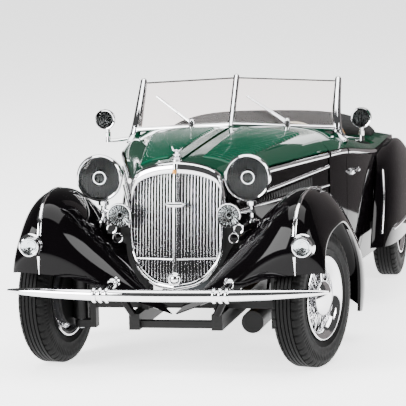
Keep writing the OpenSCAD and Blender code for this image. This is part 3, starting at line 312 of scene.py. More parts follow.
# The net is drawn 53.3 out and is drawn in to the fenders' real half width of 52
inner = float(side_x(WHEELBASE))
draw_in = (52 - inner) / (53.3 - inner)
rear_net = [
    [[x if x < inner else inner + (x - inner) * draw_in, u, z] for x, u, z in row] for row in rear_net]
rear_grid = spline_surface(rear_net, 110, 66)
on_both_sides("fender_rear", shell(rear_grid), black_paint, node="rear_fender")

# ---- Body shell, doors and boot lid ----
# One casting from the cowl to the tail with the doors and the boot lid cut out of it at a
# 0.35 mm gap. Below the belt it is black, above it the deep green of the bonnet.
CREST_LINE = [(-4, 64.6), (40, 64.6 + 0.6 * 2.8), (80, 67.4), (98, 68.0)]
CREST_LINE += [(WHEELBASE + du, z) for du, z in
               [(-40, 58.4), (-20, 58.8), (0, 57), (20, 51), (40, 41.5), (54, 30.5), (62.5, 24.5)]]
SHUT = 0.35
BONNET_END = 80.0
# Deep green enamel, the same finish
green_paint = paint("green_enamel_gloss", "#063524", 0.2)


def crest_z(u):
    return along(CREST_LINE, u)


def top_z(x, u):
    """Height of the body's top surface."""
    u = np.asarray(u, float)
    t = np.clip(np.abs(x) / side_x(u), 0, 1)
    power = np.where(u < 80, 3 + 6 * np.clip(u / 80, 0, 1), np.where(u < WHEELBASE - 30, 9.0, 4.0))
    drop = crest_z(u) - belt_z(u)
    return crest_z(u) - drop * (0.42 * t**2 + 0.58 * t**power)


def bonnet_rear(x):
    return BONNET_END - 8 * (np.abs(x) / COWL) ** 2


def body_grid(stations, flank_steps=20):
    tops = 1 - np.linspace(0, 1, 26) ** 1.7
    rows = []
    for u in stations:
        low = SILL + 3 * min(max((u - WHEELBASE) / 62.5, 0), 1) ** 2
        top = float(belt_z(u))
        half = []
        for k in range(flank_steps):
            z = low + (top - low) * k / flank_steps
            half.append([float(flank_x(u, z)), u, z])
        x = float(side_x(u))
        half += [[x * t, u, float(top_z(x * t, u))] for t in tops]
        rows.append(half + [[-p[0], p[1], p[2]] for p in half[-2::-1]])
    return np.array(rows)


def prism(outline, axis, low, high):
    """A straight solid over a closed outline, along x or z."""
    n = len(outline)
    points = []
    for level in (low, high):
        for a, b in outline:
            points.append((level, a, b) if axis == "x" else (a, b, level))
    faces = [tuple(range(n))[::-1], tuple(range(n, 2 * n))]
    faces += [(k, (k + 1) % n, n + (k + 1) % n, n + k) for k in range(n)]
    ring = outline + outline[:1]
    if sum(ring[k][0] * ring[k + 1][1] - ring[k + 1][0] * ring[k][1] for k in range(n)) < 0:
        faces = [f[::-1] for f in faces]
    return np.array(points), faces


def carve(part, cutters, operation="DIFFERENCE"):
    """The part with solids taken away, or with only what lies inside them kept."""
    temporary = []
    for k, (points, faces) in enumerate([part] + cutters):
        mesh = bpy.data.meshes.new(f"carve_{k}")
        mesh.from_pydata(np.asarray(points).tolist(), [], faces)
        mesh.update()
        made = bpy.data.objects.new(f"carve_{k}", mesh)
        bpy.context.scene.collection.objects.link(made)
        temporary.append(made)
    for cutter in temporary[1:]:
        step = temporary[0].modifiers.new("carve", "BOOLEAN")
        step.operation = operation
        step.solver = "MANIFOLD"
        step.object = cutter
    graph = bpy.context.evaluated_depsgraph_get()
    result = temporary[0].evaluated_get(graph).to_mesh()
    points = np.empty(len(result.vertices) * 3)
    result.vertices.foreach_get("co", points)
    faces = [tuple(p.vertices) for p in result.polygons]
    for made in temporary:
        mesh = made.data
        bpy.data.objects.remove(made)
        bpy.data.meshes.remove(mesh)
    return points.reshape(-1, 3), faces


def two_tone(made):
    """Green above the belt line, black below it."""
    made.data.materials.append(green_paint)
    for face in made.data.polygons:
        x, y, z = face.center * 1000
        if z > float(belt_z(y - FRONT_AXLE)) - 0.02:
            face.material_index = 1


stations = list(np.arange(28, 78, 2.0)) + list(np.arange(78, TAIL, 1.6)) + [TAIL]
body_skin = shell(body_grid(stations))
door_front, door_rear = 88.5, WHEELBASE - 53.3


def door_outline(e):
    return [
        (door_front + e, SILL + 4 + e), (door_rear - 23.5 - e, SILL + 4 + e),
        (door_rear - 18.5 - e, SILL + 11 + e), (door_rear - 9.2 - e, 41), (door_rear - 4 - e, 48),
        (door_rear - e, 54), (door_rear - e, 75), (98 + e, 75), (98 + e, BELT - 2.2 - e),
        (door_front + e, BELT - 2.2 - e),
    ]


def boot_outline(e):
    front, rear, half = WHEELBASE - 4 + e, WHEELBASE + 34 - e, 19 - e
    return [(-half, front), (half, front), (half - 3, rear), (3 - half, rear)]


steps = np.linspace(60, -60, 41)
hood_bay = [(-60, 20), (60, 20)] + [(x, float(bonnet_rear(min(abs(x), COWL))) + SHUT) for x in steps]
cabin_front, cabin_rear, cabin_hw = 97, WHEELBASE - 36, COWL - 1
cabin = [
    (-cabin_hw, cabin_front), (0, cabin_front + 3), (cabin_hw, cabin_front),
    (cabin_hw + 4.6, cabin_front + 16), (cabin_hw + 6.2, cabin_rear - 8), (cabin_hw - 2, cabin_rear),
    (2 - cabin_hw, cabin_rear), (-cabin_hw - 6.2, cabin_rear - 8), (-cabin_hw - 4.6, cabin_front + 16),
]
cutters = [
    prism(hood_bay, "z", 41.2, 81),
    prism(cabin, "z", 53, 83),
    prism(door_outline(0), "x", 20, 60),
    prism(door_outline(0), "x", -60, -20),
    prism(boot_outline(0), "z", 30, 70),
]
around = np.linspace(0, 2 * np.pi, 72, endpoint=False)
arch = [(WHEELBASE + 23.6 * math.cos(a), 21.8 + 23.6 * math.sin(a)) for a in around]
cutters += [prism(arch, "x", 32.6, 60), prism(arch, "x", -60, -32.6)]
firewall = prism([(-32, 77), (32, 77), (32, 78.2), (-32, 78.2)], "z", 34, 60)
tail_rim = body_grid([TAIL])[0] * np.array([0.97, 1, 1]) - np.array([0, 0, 0.3])
n = len(tail_rim)
tail_plate = (
    np.concatenate([tail_rim, tail_rim - np.array([0, 1.2, 0])]),
    [tuple(range(n)), tuple(range(n, 2 * n))[::-1]]
    + [(k, n + k, n + (k + 1) % n, (k + 1) % n) for k in range(n)],
)
shell_piece = piece("body_casting", [carve(body_skin, cutters), firewall, tail_plate], black_paint,
                    "car_body", ["body_shell"])
two_tone(shell_piece)
door_skin = carve(body_skin, [prism(door_outline(SHUT), "x", 20, 60)], "INTERSECT")
door_skin = carve(door_skin, [prism(cabin, "z", 53, 83)])
for side in ("left", "right"):
    part = door_skin if side == "left" else mirrored(door_skin)
    panel = piece(f"door_panel_{side}", [part], black_paint, f"{side}_door", [f"door_{side}"])
    two_tone(panel)
lid_skin = carve(body_skin, [prism(boot_outline(SHUT), "z", 30, 70)], "INTERSECT")
lid = piece("boot_lid_panel", [lid_skin], black_paint, "boot", ["boot_lid"])
two_tone(lid)

# ---- Bonnet ----
# Two green halves hinged along the middle, each with a bank of pressed cross louvres. The black
# side panels stay in place and carry upright louvres between two chrome strips.


def smooth_step(value, low, high):
    t = np.clip((value - low) / (high - low), 0, 1)
    return t * t * (3 - 2 * t)


def louvre(position, pitch):
    """Rise of a row of louvres that open backwards."""
    phase = np.mod(position / pitch, 1.0)
    return np.sin(0.5 * np.pi * np.minimum(phase / 0.72, 1)) * (1 - smooth_step(phase, 0.78, 0.95))


LOUVRE_PITCH = 3.0
rows, cols = 460, 92
share = np.linspace(0, 1, rows)[:, None]
t = (1 - np.linspace(0, 1, cols) ** 1.5)[None, :]
edge_x = float(side_x(bonnet_rear(COWL)))
u = -1.6 + share * (bonnet_rear(t * edge_x) + 1.6)
x = 0.7 + (side_x(u) - 0.25 - 0.7) * t
z = top_z(x, u) + 0.02
bank_inner, bank_outer = 5.85 - 0.02 * u, 13.6 + 0.168 * u
bank = smooth_step(x, bank_inner - 0.25, bank_inner + 0.25)
bank = bank * (1 - smooth_step(x, bank_outer - 0.3, bank_outer + 0.3))
bank = bank * smooth_step(u, 8, 8.4) * (1 - smooth_step(u, bonnet_rear(x) - 2.6, bonnet_rear(x) - 2.2))
z = z + 0.75 * bank * louvre(u - 8, LOUVRE_PITCH)
bonnet_grid = np.stack([x, u, z], axis=-1)
# The same green where louvres are pressed, with a painted highlight along each crest and painted shade in the
# gap behind it, in stripes at the louvre pitch
louvre_light_and_shade_green = paint("green_louvres_painted_highlight_and_shade", "#063524", 0.1)
tree = louvre_light_and_shade_green.node_tree
crest = add_node(tree, "ShaderNodeTexWave", {"bands_direction": "Y"},
                 {"Scale": 2 * math.pi / (20 * LOUVRE_PITCH), "Phase Offset": 2.3}, {"Vector": in_mm(tree)})
crest_light_gap_shade = add_node(tree, "ShaderNodeMix", {"data_type": "RGBA"}, None, {"Factor": crest.outputs["Fac"]})
# Painted shade green for the gaps (A) and painted highlight green for the crests (B)
crest_light_gap_shade.inputs["A"].default_value = srgb("#021710")
crest_light_gap_shade.inputs["B"].default_value = srgb("#0a4531")
tree.links.new(crest_light_gap_shade.outputs["Result"], tree.nodes["Principled BSDF"].inputs["Base Color"])
for side in ("left", "right"):
    part = shell(bonnet_grid)
    half = piece(f"bonnet_half_{side}", [part if side == "left" else mirrored(part)], green_paint,
                 f"{side}_bonnet", [f"bonnet_{side}"], sharp=60)
    # Faces over the louvre banks take the green with painted highlight and shade
    half.data.materials.append(louvre_light_and_shade_green)
    for face in half.data.polygons:
        x, u = abs(face.center.x * 1000), face.center.y * 1000 - FRONT_AXLE
        if 5.9 - 0.02 * u < x < 13.6 + 0.168 * u and 8.2 < u < bonnet_rear(x) - 2.4:
            face.material_index = 1


def strip_top(u):
    return 51 + 4 * np.clip(u / 75, 0, 1)


u = np.linspace(-1.6, float(bonnet_rear(COWL)) - SHUT / 2, 420)[:, None]
z = np.linspace(41.2, BELT - WALL - 0.7, 70)[None, :]
bank = smooth_step(u, 4, 4.3) * (1 - smooth_step(u, 58, 58.3)) * smooth_step(z, 49.1, 49.7)
bank = bank * (1 - smooth_step(z, strip_top(u) - 1.3, strip_top(u) - 0.8))
rise = 0.55 * bank * louvre(u, 1.9)
side_grid = np.stack([side_x(u) - 0.1 + rise + 0 * z, u + 0 * z, z + 0 * u], axis=-1)
on_both_sides("bonnet_side", shell(side_grid), black_paint, node="hood_side", sharp=60)

# ---- Radiator shell and grille ----
# Plated casting with a vee front. Thin upright bars sit behind it on either side of a plated
# spine, with a crossbar low down and the starting-handle cap at the foot.


def hazed(name, colour, scale, detail, low, high, **values):
    """A material whose roughness wanders between two levels, in patches about 1 / scale mm wide."""
    material, tree, surface = new_material(name, Base_Color=srgb(colour), **values)
    size = {"Scale": scale, "Detail": detail}
    haze = add_node(tree, "ShaderNodeTexNoise", None, size, {"Vector": in_mm(tree)})
    level = add_node(tree, "ShaderNodeMapRange", None, {"To Min": low, "To Max": high},
                     {"Value": haze.outputs["Fac"]})
    tree.links.new(level.outputs[0], surface.inputs["Roughness"])
    return material


def through(points, count, closed=False):
    """Points spaced evenly along a smooth curve through the given ones."""
    p = np.array(points, float)
    if closed:
        q = np.concatenate([p[-1:], p, p[:2]])
    else:
        q = np.concatenate([2 * p[:1] - p[1:2], p, 2 * p[-1:] - p[-2:-1]])
    fine = []
    for k in range(1, len(q) - 2):
        t = np.linspace(0, 1, 24, endpoint=False)[:, None]
        a, b, c, d = q[k - 1 : k + 3]
        fine.append(0.5 * (2 * b + (c - a) * t + (2 * a - 5 * b + 4 * c - d) * t**2
                           + (3 * b - a - 3 * c + d) * t**3))
    fine = np.concatenate(fine + ([] if closed else [p[-1:]]))
    if closed:
        fine = np.concatenate([fine, fine[:1]])
    length = np.concatenate([[0], np.cumsum(np.linalg.norm(np.diff(fine, axis=0), axis=1))])
    at = np.linspace(0, length[-1], count + (1 if closed else 0))
    out = np.stack([np.interp(at, length, fine[:, k]) for k in range(fine.shape[1])], axis=1)
    return out[:-1] if closed else out


def tube(path, radius, sides=16, closed=False):
    """A round bar along a path; radius is one number or one per point."""
    path = np.asarray(path, float)
    n = len(path)
    radius = np.broadcast_to(np.asarray(radius, float), (n,))
    if closed:
        ahead = unit(np.roll(path, -1, 0) - np.roll(path, 1, 0))
    else:
        ahead = unit(np.gradient(path, axis=0))
    up = np.array([0, 0, 1.0]) if abs(ahead[0][2]) < 0.9 else np.array([1.0, 0, 0])
    rings = []
    for p, d, r in zip(path, ahead, radius):
        s = unit(np.cross(d, up))
        up = np.cross(s, d)
        angle = np.linspace(0, 2 * np.pi, sides, endpoint=False)[:, None]
        rings.append(p + r * (np.cos(angle) * s + np.sin(angle) * up))
    faces = quads(n, sides, wrap_rows=closed, wrap_cols=True)
    if not closed:
        faces += [tuple(range(sides)), tuple(range((n - 1) * sides, n * sides))[::-1]]
    return np.concatenate(rings), faces


def bar(a, b, radius, sides=16):
    return tube(np.array([a, b], float), radius, sides)


def ball(centre, radius, sides=24):
    a = np.linspace(0, np.pi, sides // 2 + 1)
    return lathe([(radius * math.sin(t), -radius * math.cos(t)) for t in a], centre, (0, 0, 1), sides)


def lathe(profile, centre, axis, sides=48):
    """A turned piece: profile is (radius, height along the axis), bottom first for an outside."""
    axis = unit(np.array(axis, float))
    s = unit(np.cross(axis, [0, 0, 1.0] if abs(axis[2]) < 0.9 else [1.0, 0, 0]))
    v = np.cross(axis, s)
    profile = np.array(profile, float)
    angle = np.linspace(0, 2 * np.pi, sides, endpoint=False)
    ring = np.cos(angle)[:, None] * s + np.sin(angle)[:, None] * v
    points = profile[:, 0, None, None] * ring + profile[:, 1, None, None] * axis + np.array(centre, float)
    return points.reshape(-1, 3), quads(len(profile), sides, wrap_cols=True, flip=True)


def block(low, high):
    """A plain box between two corners."""
    (x0, y0, z0), (x1, y1, z1) = low, high
    return prism([(x0, y0), (x1, y0), (x1, y1), (x0, y1)], "z", z0, z1)


# Nickel-chrome over polished metal: a near mirror with a little haze
chrome = hazed("chrome_plate", "#e6e6e8", 1.6, 2.0, 0.0315, 0.072, Metallic=1.0)


def plated(name, parts, node=None):
    """A chrome piece on the car's body, drawn in place of a CAD node or added to one."""
    piece(name, parts, chrome, "car_body", [node] if node else [])


# Painted shade: flat black for the inside of a hollow, which never sees light
painted_shade_black, _, _ = new_material("matte_black_painted_shade", Base_Color=srgb("#050505"), Roughness=0.7)
shell_edge = [(0, 25.4), (6.4, 26.6), (10.4, 29.2), (13.2, 32.8), (14.6, 37), (15, 43), (15, 50),
              (14.8, 56), (13.9, 60.3), (11, 62.8), (6, 64.4), (0, 65.2)]
opening_edge = [(0, 27.2), (5.8, 28.3), (9.5, 30.7), (12.3, 34), (13.8, 38), (14.3, 43), (14.4, 50),
                (14, 55), (12.8, 58), (10, 59.7), (5.5, 61), (0, 61.6)]


def spine_u(z):
    return -13 + 5.9 * (z - 26.6) / 38.7


def face_u(x, z):
    return spine_u(z) + 2.5 * np.abs(x) / 15


outer_half = through(shell_edge, 90)
inner_half = through(opening_edge, 90)
outer_half[:, 0] = np.maximum(outer_half[:, 0], 0)
inner_half[:, 0] = np.maximum(inner_half[:, 0], 0)
rings = []
for o, i in zip(outer_half, inner_half):
    ring = []
    for share, lift in ((0, 1.8), (0, 0.5), (0.03, 0.12), (0.12, -0.1), (0.5, -0.35), (0.85, -0.1),
                        (0.97, 0.35), (1, 0.9)):
        x, z = i + (o - i) * share
        ring.append((x, face_u(x, z) + lift, z))
    x, z = i + (o - i) * 0.4
    ring += [(o[0] * 1.01, -2.1, o[1] * 0.99 + 0.3), (o[0] * 0.93, -2.1, o[1] * 0.98)]
    ring.append((x, face_u(x, z) + 2, z))
    rings.append(ring)
rings = np.array(rings)
loop = np.concatenate([rings, (rings * np.array([-1, 1, 1]))[-2:0:-1]])
shell_faces = quads(len(loop), loop.shape[1], wrap_rows=True, wrap_cols=True, flip=True)
piece("radiator_shell", [(loop.reshape(-1, 3), shell_faces)], chrome, "car_body", ["grille_shell"],
      sharp=50)

bars = []
for k in range(1, 15):
    x = 0.98 * k - 0.05
    z0 = float(np.interp(x, *np.array(opening_edge[:6]).T)) + 0.15
    z1 = float(np.interp(x, *np.array(opening_edge[:6:-1]).T))
    z = np.linspace(z0, z1 - 0.1, 8)
    path = np.stack([x + 0 * z, face_u(x, z) + 1.2, z], axis=1)
    path[-1, 1] += 0.35
    bars.append(tube(path, 0.25, 10))
spine = through([(0, spine_u(z) + 0.05, z) for z in (27.6, 40, 52, 64.6)], 24)
crossbar = [tube([(0.4, spine_u(35) + 0.6, 35), (12.7, face_u(12.7, 35) + 0.85, 35)], 0.3, 12)]
foot = (0, spine_u(29) + 0.3, 29.0)
parts = both(bars + crossbar) + [tube(spine, 0.72, 20), ball(foot, 1.9)]
parts += [lathe([(1.9, 0), (2.1, 0.25), (1.9, 0.5), (1.6, 0.5)], (0, spine_u(29) - 0.1, 29), (0, -1, 0))]
parts += [tube([(-2.7, spine_u(52) + 0.2, 52), (-2.2, spine_u(52) - 0.5, 52), (0, spine_u(52) - 0.8, 52),
                (2.2, spine_u(52) - 0.5, 52), (2.7, spine_u(52) + 0.2, 52)],
               [0.5, 0.85, 0.75, 0.85, 0.5], 16)]
plated("grille", parts, "grille_bars")
# Amber glass enamel fired on brass
enamel, _, _ = new_material("amber_enamel_badge", Base_Color=srgb("#c88a3a"), Roughness=0.25, Metallic=0.6)
badge_at = (0, spine_u(62.2) - 0.75, 62.2)
piece("radiator_badge", [lathe([(0, 0), (0.75, 0), (0.75, 0.3), (0, 0.42)], badge_at, (0, -1, 0.15))],
      enamel, "car_body")

# A flat black plate behind the grille and two blocks low at either side: painted shade seen through the bars
outline = [(x * 0.97, z) for x, z in outer_half] + [(-x * 0.97, z) for x, z in outer_half[-2:0:-1]]
points, faces = prism(outline, "z", -3.7, -3.3)
parts = [(points[:, [0, 2, 1]], [f[::-1] for f in faces])] + both([block((9, -3.7, 20), (19, -3.3, 44))])
piece("grille_painted_shade_backing", parts, painted_shade_black, "car_body")
across = np.linspace(-17, 17, 41)[:, None]
down = np.linspace(0, 1, 12)[None, :]
drop = 25.6 - (25.6 - 21 - 3.2 * (across / 17) ** 2) * down
valance = np.stack([across + 0 * down, -15.4 + 1.6 * down + 2.2 * (across / 17) ** 2, drop], axis=-1)
piece("radiator_valance", [shell(valance, 0.6)], black_paint, "car_body")

# ---- Radiator cap ----
# Turned and plated cap in rings, with a small plain pair of wings on top.
cap = lathe(
    [(0, 0), (1.6, 0), (1.7, 0.3), (1.6, 0.6), (1.1, 0.75), (1.1, 0.95), (1.5, 1.1), (1.55, 1.35),
     (1.4, 1.6), (0.9, 1.75), (0.9, 1.95), (1.2, 2.1), (1.2, 2.3), (0.6, 2.6), (0.4, 3.1), (0, 3.2)],
    (0, -4.4, 65.05), (0, 0, 1))
wing = tube(through([(0.2, -4.5, 68.1), (0.8, -4.2, 68.3), (1.3, -3.9, 68.8), (1.7, -3.6, 69.5)], 16),
            np.linspace(0.4, 0.16, 16), 12)
bird = [cap] + both([wing]) + [ball((0, -4.6, 68.4), 0.5, 20),
                               tube([(0, -4.9, 68.4), (0, -5.4, 68.8)], [0.35, 0.15], 12)]
plated("radiator_cap", bird, "radiator_mascot")

# ---- Lamps ----
# Plated pressed shells with glass fronts: two headlamps on stalks, two fog lamps, a lamp on the
# crown of each front fender, a search lamp at each side of the windscreen, and tail lamps.
# Clear lamp glass, smooth in front, with the fluting on its back left to the reflector behind it
lens_glass, _, _ = new_material(
    "lamp_glass_clear", Base_Color=srgb("#eef2f2"), Roughness=0.02, Transmission_Weight=1.0, IOR=1.2)
# Dark grey part-metal reflector behind vertical flutes, which dull what it mirrors; the dark base keeps what
# it mirrors dim
grey_reflector, tree, surface = new_material(
    "reflector_fluted_grey", Base_Color=srgb("#161618"), Metallic=0.4, Roughness=0.35)
# One flute in 0.5 mm across the lamp
flute = add_node(tree, "ShaderNodeTexWave", {"bands_direction": "X"}, {"Scale": 0.62},
                 {"Vector": in_mm(tree)})
raised(tree, surface, flute.outputs["Fac"], 1.0, 0.0003)
FRONT = (0, -1, 0)
HEADLAMP = (23.6, -10.3, 60.6)
r = 6.9
bucket = [(0, -14.6), (1.6, -14.3), (2.8, -13.2), (4.2, -11.2), (5.3, -8.8), (6.1, -6.2), (6.6, -3.5),
          (r, -0.6), (r, 0), (r - 0.3, 0), (r - 0.3, -1.2)]
plated("headlamp_shells", both([lathe(bucket, HEADLAMP, FRONT, 64)]), "headlamp_buckets")
rim = [(6.5, 0.05), (7.35, 0.05), (7.4, 0.5), (7.2, 1.0), (6.85, 1.25), (6.6, 1.1), (6.5, 0.75), (6.5, 0.05)]
plated("headlamp_rings", both([lathe(rim, HEADLAMP, FRONT, 64)]), "headlamp_rims")
dish = [(6.45, -0.3), (5.6, -0.9), (4.2, -1.6), (2.6, -2.1), (0, -2.3)]
piece("headlamp_reflectors", both([lathe(dish[::-1], HEADLAMP, FRONT, 64)]), grey_reflector, "car_body")
collar = [(1.55, -2.2), (2.25, -2.2), (2.3, 0.1), (2.1, 0.35), (1.75, 0.35), (1.5, 0.1), (1.45, -1.6)]
plated("headlamp_bulb_collars", both([lathe(collar, HEADLAMP, FRONT, 40)]))
# The bulbs are drawn in the flat black of painted shade
bulb = [(1.4, -2.0), (1.3, -0.6), (0.9, -0.2), (0, -0.05)]
piece("headlamp_bulbs", both([lathe(bulb, HEADLAMP, FRONT, 32)]), painted_shade_black, "car_body")
pane = [(0, 0.1), (6.5, 0.1), (6.5, 0.6), (5.2, 0.95), (3, 1.2), (0, 1.3)]
FOG = (17.4, -11.2, 48.9)
MARKER = (42.7, -26.2, 41.1)
fog_pane = [(0, 0.0), (3.35, 0.0), (3.35, 0.4), (2.4, 0.7), (0, 0.85)]
marker_pane = [(0, 0.05), (2.55, 0.05), (2.55, 0.35), (2.0, 0.62), (1.85, 0.55), (1.7, 0.72),
               (1.2, 0.9), (1.05, 0.8), (0.9, 1.0), (0, 1.1)]
piece("lamp_glasses", both([lathe(pane, HEADLAMP, FRONT, 64), lathe(fog_pane, FOG, FRONT, 48),
                            lathe(marker_pane, MARKER, FRONT, 48)]),
      lens_glass, "car_body", ["lamp_lenses"])
fog_shell = [(0, -3.4), (1.6, -3.2), (2.9, -2.4), (3.7, -1.2), (3.9, -0.2), (3.9, 0.4), (3.75, 0.75),
             (3.5, 0.7), (3.4, 0.3), (3.4, -0.1), (2, -0.9), (0, -1.2)]
plated("fog_lamp_shells", both([lathe(fog_shell, FOG, FRONT, 48)]), "fog_lamps")
fog_dish = [(0.3, -1.1), (0.9, -1.0), (1.7, -0.8), (2.6, -0.45), (3.36, -0.05)]
points, faces = lathe(fog_dish, FOG, FRONT, 288)
spread = points[:, [0, 2]] - np.array(FOG)[[0, 2]]
wide = np.linalg.norm(spread, axis=1)
points[:, 1] -= 0.13 * wide / 3.36 * np.cos(24 * np.arctan2(spread[:, 0], spread[:, 1]))
plated("fog_lamp_reflectors", both([(points, faces)]))
# Twenty dark radial bars between reflector and glass: painted shade for the dark streaks of the lamps' radial
# flutes
flute_shade_streaks = []
for k in range(20):
    a = 2 * math.pi * k / 20
    rim, root = [FOG[0] + 3.3 * math.cos(a), FOG[1] - 0.12, FOG[2] + 3.3 * math.sin(a)], [
        FOG[0] + 1.1 * math.cos(a), FOG[1] + 0.75, FOG[2] + 1.1 * math.sin(a)]
    flute_shade_streaks.append(bar(root, rim, 0.13, 6))
piece("fog_lamp_painted_shade_streaks", both(flute_shade_streaks), painted_shade_black, "car_body")
# The bulb caps are drawn in the flat black of painted shade
fog_cap = [(0.75, -0.7), (0.8, -0.15), (0.55, 0.0), (0, 0.0)]
piece("fog_lamp_bulbs", both([lathe(fog_cap, FOG, FRONT, 24)]), painted_shade_black, "car_body")
marker_shell = [(3.9, -1.6), (3.3, -0.6), (3.15, 0), (3.2, 0.4), (3.0, 0.75), (2.75, 0.8), (2.6, 0.5),
                (2.6, 0), (0, -0.3)]
plated("fender_lamp_rings", both([lathe(marker_shell, MARKER, FRONT, 48)]), "fender_lamps")
stalk = tube(through([(23.6, -6.1, 53.4), (23.7, -6.0, 51), (23.9, -5.9, 48.6), (24, -5.9, 46.6)], 12),
             [1.0, 1.15, 1.3, 1.0, 0.9, 0.9, 1.0, 1.1, 1.1, 1.0, 1.1, 1.3], 20)
clamp = lathe([(1.2, 0), (1.7, 0.1), (1.7, 1.3), (1.2, 1.4)], (23.7, -6, 51.4), (0, 0, 1), 24)
pad = lathe([(2.3, 0), (2.2, 0.5), (1.2, 0.9)], (24, -5.9, 46.2), (0, 0, 1), 32)
arm = tube(through([(23.4, -6.1, 49.8), (21, -7, 49.4), (17.6, -8.3, 49)], 10), 0.6, 14)
horn = [tube([(21.4, -3.4, 44.8), (20.5, -8, 44.6), (20.4, -9.2, 44.6), (20.3, -10.5, 44.6)],
             [0.8, 0.9, 1.1, 1.5], 24)]
horn += [lathe([(0.4, 0), (1.5, 0.1), (1.6, 0.4), (1.3, 0.55), (0, 0.7)], (18.6, -9.6, 41.6), FRONT, 28)]
horn += [tube([(18.6, -9.4, 41.6), (19.6, -6, 42.6)], 0.6, 12)]
plated("lamp_brackets", both([stalk, clamp, pad, arm]), "lamp_stalks")
horn_ring = [(1.2, 0), (1.65, 0), (1.7, 0.25), (1.5, 0.4), (1.2, 0.3)]
plated("horn_rings", both([lathe(horn_ring, (20.3, -10.4, 44.6), FRONT, 28),
                          lathe(horn_ring, (18.6, -9.7, 41.6), FRONT, 28)]))
piece("horns", both(horn), black_paint, "car_body")
SEARCH = (45.5, 85.9, 70.0)
search_shell = [(0, -5), (1.0, -4.8), (2.2, -4.0), (3.1, -2.6), (3.5, -0.9), (3.6, 0), (3.6, 0.6),
                (3.35, 0.95), (3.05, 0.85), (3.0, 0.45)]
foot = [tube([(45.2, 88.2, 67.6), (45.2, 88.2, 65.4), (45.2, 88.2, 65.2), (45.2, 88.2, 63.8),
              (45.2, 88.2, 63.6), (45.2, 88.2, 61.8)], [0.7, 0.7, 1.0, 1.0, 0.75, 0.95], 20)]
foot += [tube(through([(45.2, 88.2, 62.3), (43, 89.6, 62.2), (40.4, 91.3, 62.4), (38.4, 92.6, 62.6)], 12),
              0.62, 16)]
plated("search_lamp_shells", both([lathe(search_shell, SEARCH, FRONT, 48)] + foot), "search_lamps")
search_dish = [(0, -1.0), (1.2, -0.6), (2.2, -0.1), (3.0, 0.35)]
piece("search_lamp_reflectors", both([lathe(search_dish, SEARCH, FRONT, 40)]), grey_reflector, "car_body")
search_pane = [(0, 0.36), (3.0, 0.36), (2.9, 0.6), (1.6, 0.85), (0, 0.95)]
piece("search_lamp_glasses", both([lathe(search_pane, SEARCH, FRONT, 40)]), lens_glass, "car_body")
# Red moulded acrylic, half clear
red_lens, _, _ = new_material("tail_lamp_red_acrylic", Base_Color=srgb("#9c1010"), Roughness=0.12,
                              Transmission_Weight=0.3)
tail_at = (30, TAIL - 9, 41.4)
tail_shell = [(0.3, -6), (1.2, -3.5), (1.9, -0.6), (2.0, 1.6), (1.85, 1.9), (1.6, 1.9)]
plated("tail_lamp_shells", both([lathe(tail_shell, tail_at, (0, 1, 0), 32)]))
piece("tail_lamp_glasses", both([lathe([(1.65, 0.6), (1.65, 1.9), (1.1, 2.15), (0, 2.2)], tail_at,
                                       (0, 1, 0), 32)]),
      red_lens, "car_body", ["tail_lamps"])

# ---- Bumpers ----
# Plated round bars, tapered and swept back at the ends. Each is held by two clamps of three
# rings on irons with domed nuts.


def bumper(front_y, direction):
    x = 50.4 * np.sign(np.linspace(-1, 1, 61)) * (1 - (1 - np.abs(np.linspace(-1, 1, 61))) ** 1.15)
    path = np.stack([x, front_y + direction * 8.6 * (np.abs(x) / 50) ** 2.2, 27.3 + 0 * x], axis=1)
    radius = np.maximum(1.85 * (1 - 0.3 * (np.abs(x) / 50.4) ** 2 - 0.45 * (np.abs(x) / 50.4) ** 9), 0.4)
    parts = [tube(path, radius, 28)]
    for k in (-1, 0, 1):
        middle = (18.7 + 2 * k - 0.6, front_y + direction * 8.6 * (18.7 / 50) ** 2.2, 27.3)
        ring = [(1.8, 0), (2.2, 0.02), (2.42, 0.3), (2.45, 0.6), (2.42, 0.9), (2.2, 1.18), (1.8, 1.2)]
        parts += both([lathe(ring, middle, (1, 0, 0), 40)])
    return parts


front_bar, rear_bar = -36.5 + 2.45, WHEELBASE + 68.2 - 2.45
plated("bumper_bar_front", bumper(front_bar, 1), "front_bumper")
plated("bumper_bar_rear", bumper(rear_bar, -1), "rear_bumper")
irons = [tube([(18.7, front_bar + 2.6, 27.3), (18.7, -19.4, 28.3)], 1.1, 20)]
irons += [ball((18.7, -18, 28.4), 1.9, 28)]
roots = both([tube([(18.7, -17.4, 28), (13.4, -14, 18.2)], 1.2, 20)])
irons += [lathe([(2.2, 0), (2.3, 0.3), (2.0, 0.6)], (18.7, -17.3, 28.4), (0, -1, 0.1), 28)]
irons += [tube([(18.7, rear_bar - 2.6, 27.3), (18.7, WHEELBASE + 44, 28.5)], 1.1, 20)]
plated("bumper_irons", both(irons), "bumper_brackets")
piece("bumper_iron_roots", roots, black_paint, "car_body")

# ---- Windscreen and wipers ----
# Two flat panes of clear acrylic meet in a shallow vee. They stand between a plated centre post
# and two tapered side posts on a plated sill, and have no rail along the top.
RAKE = math.radians(38)
UP_SCREEN = np.array([0, math.sin(RAKE), math.cos(RAKE)])
screen_base = np.array([[0, 84, 67.9], [34.7, 90.5, 65.9]])
screen_top = screen_base + 19.8 * UP_SCREEN
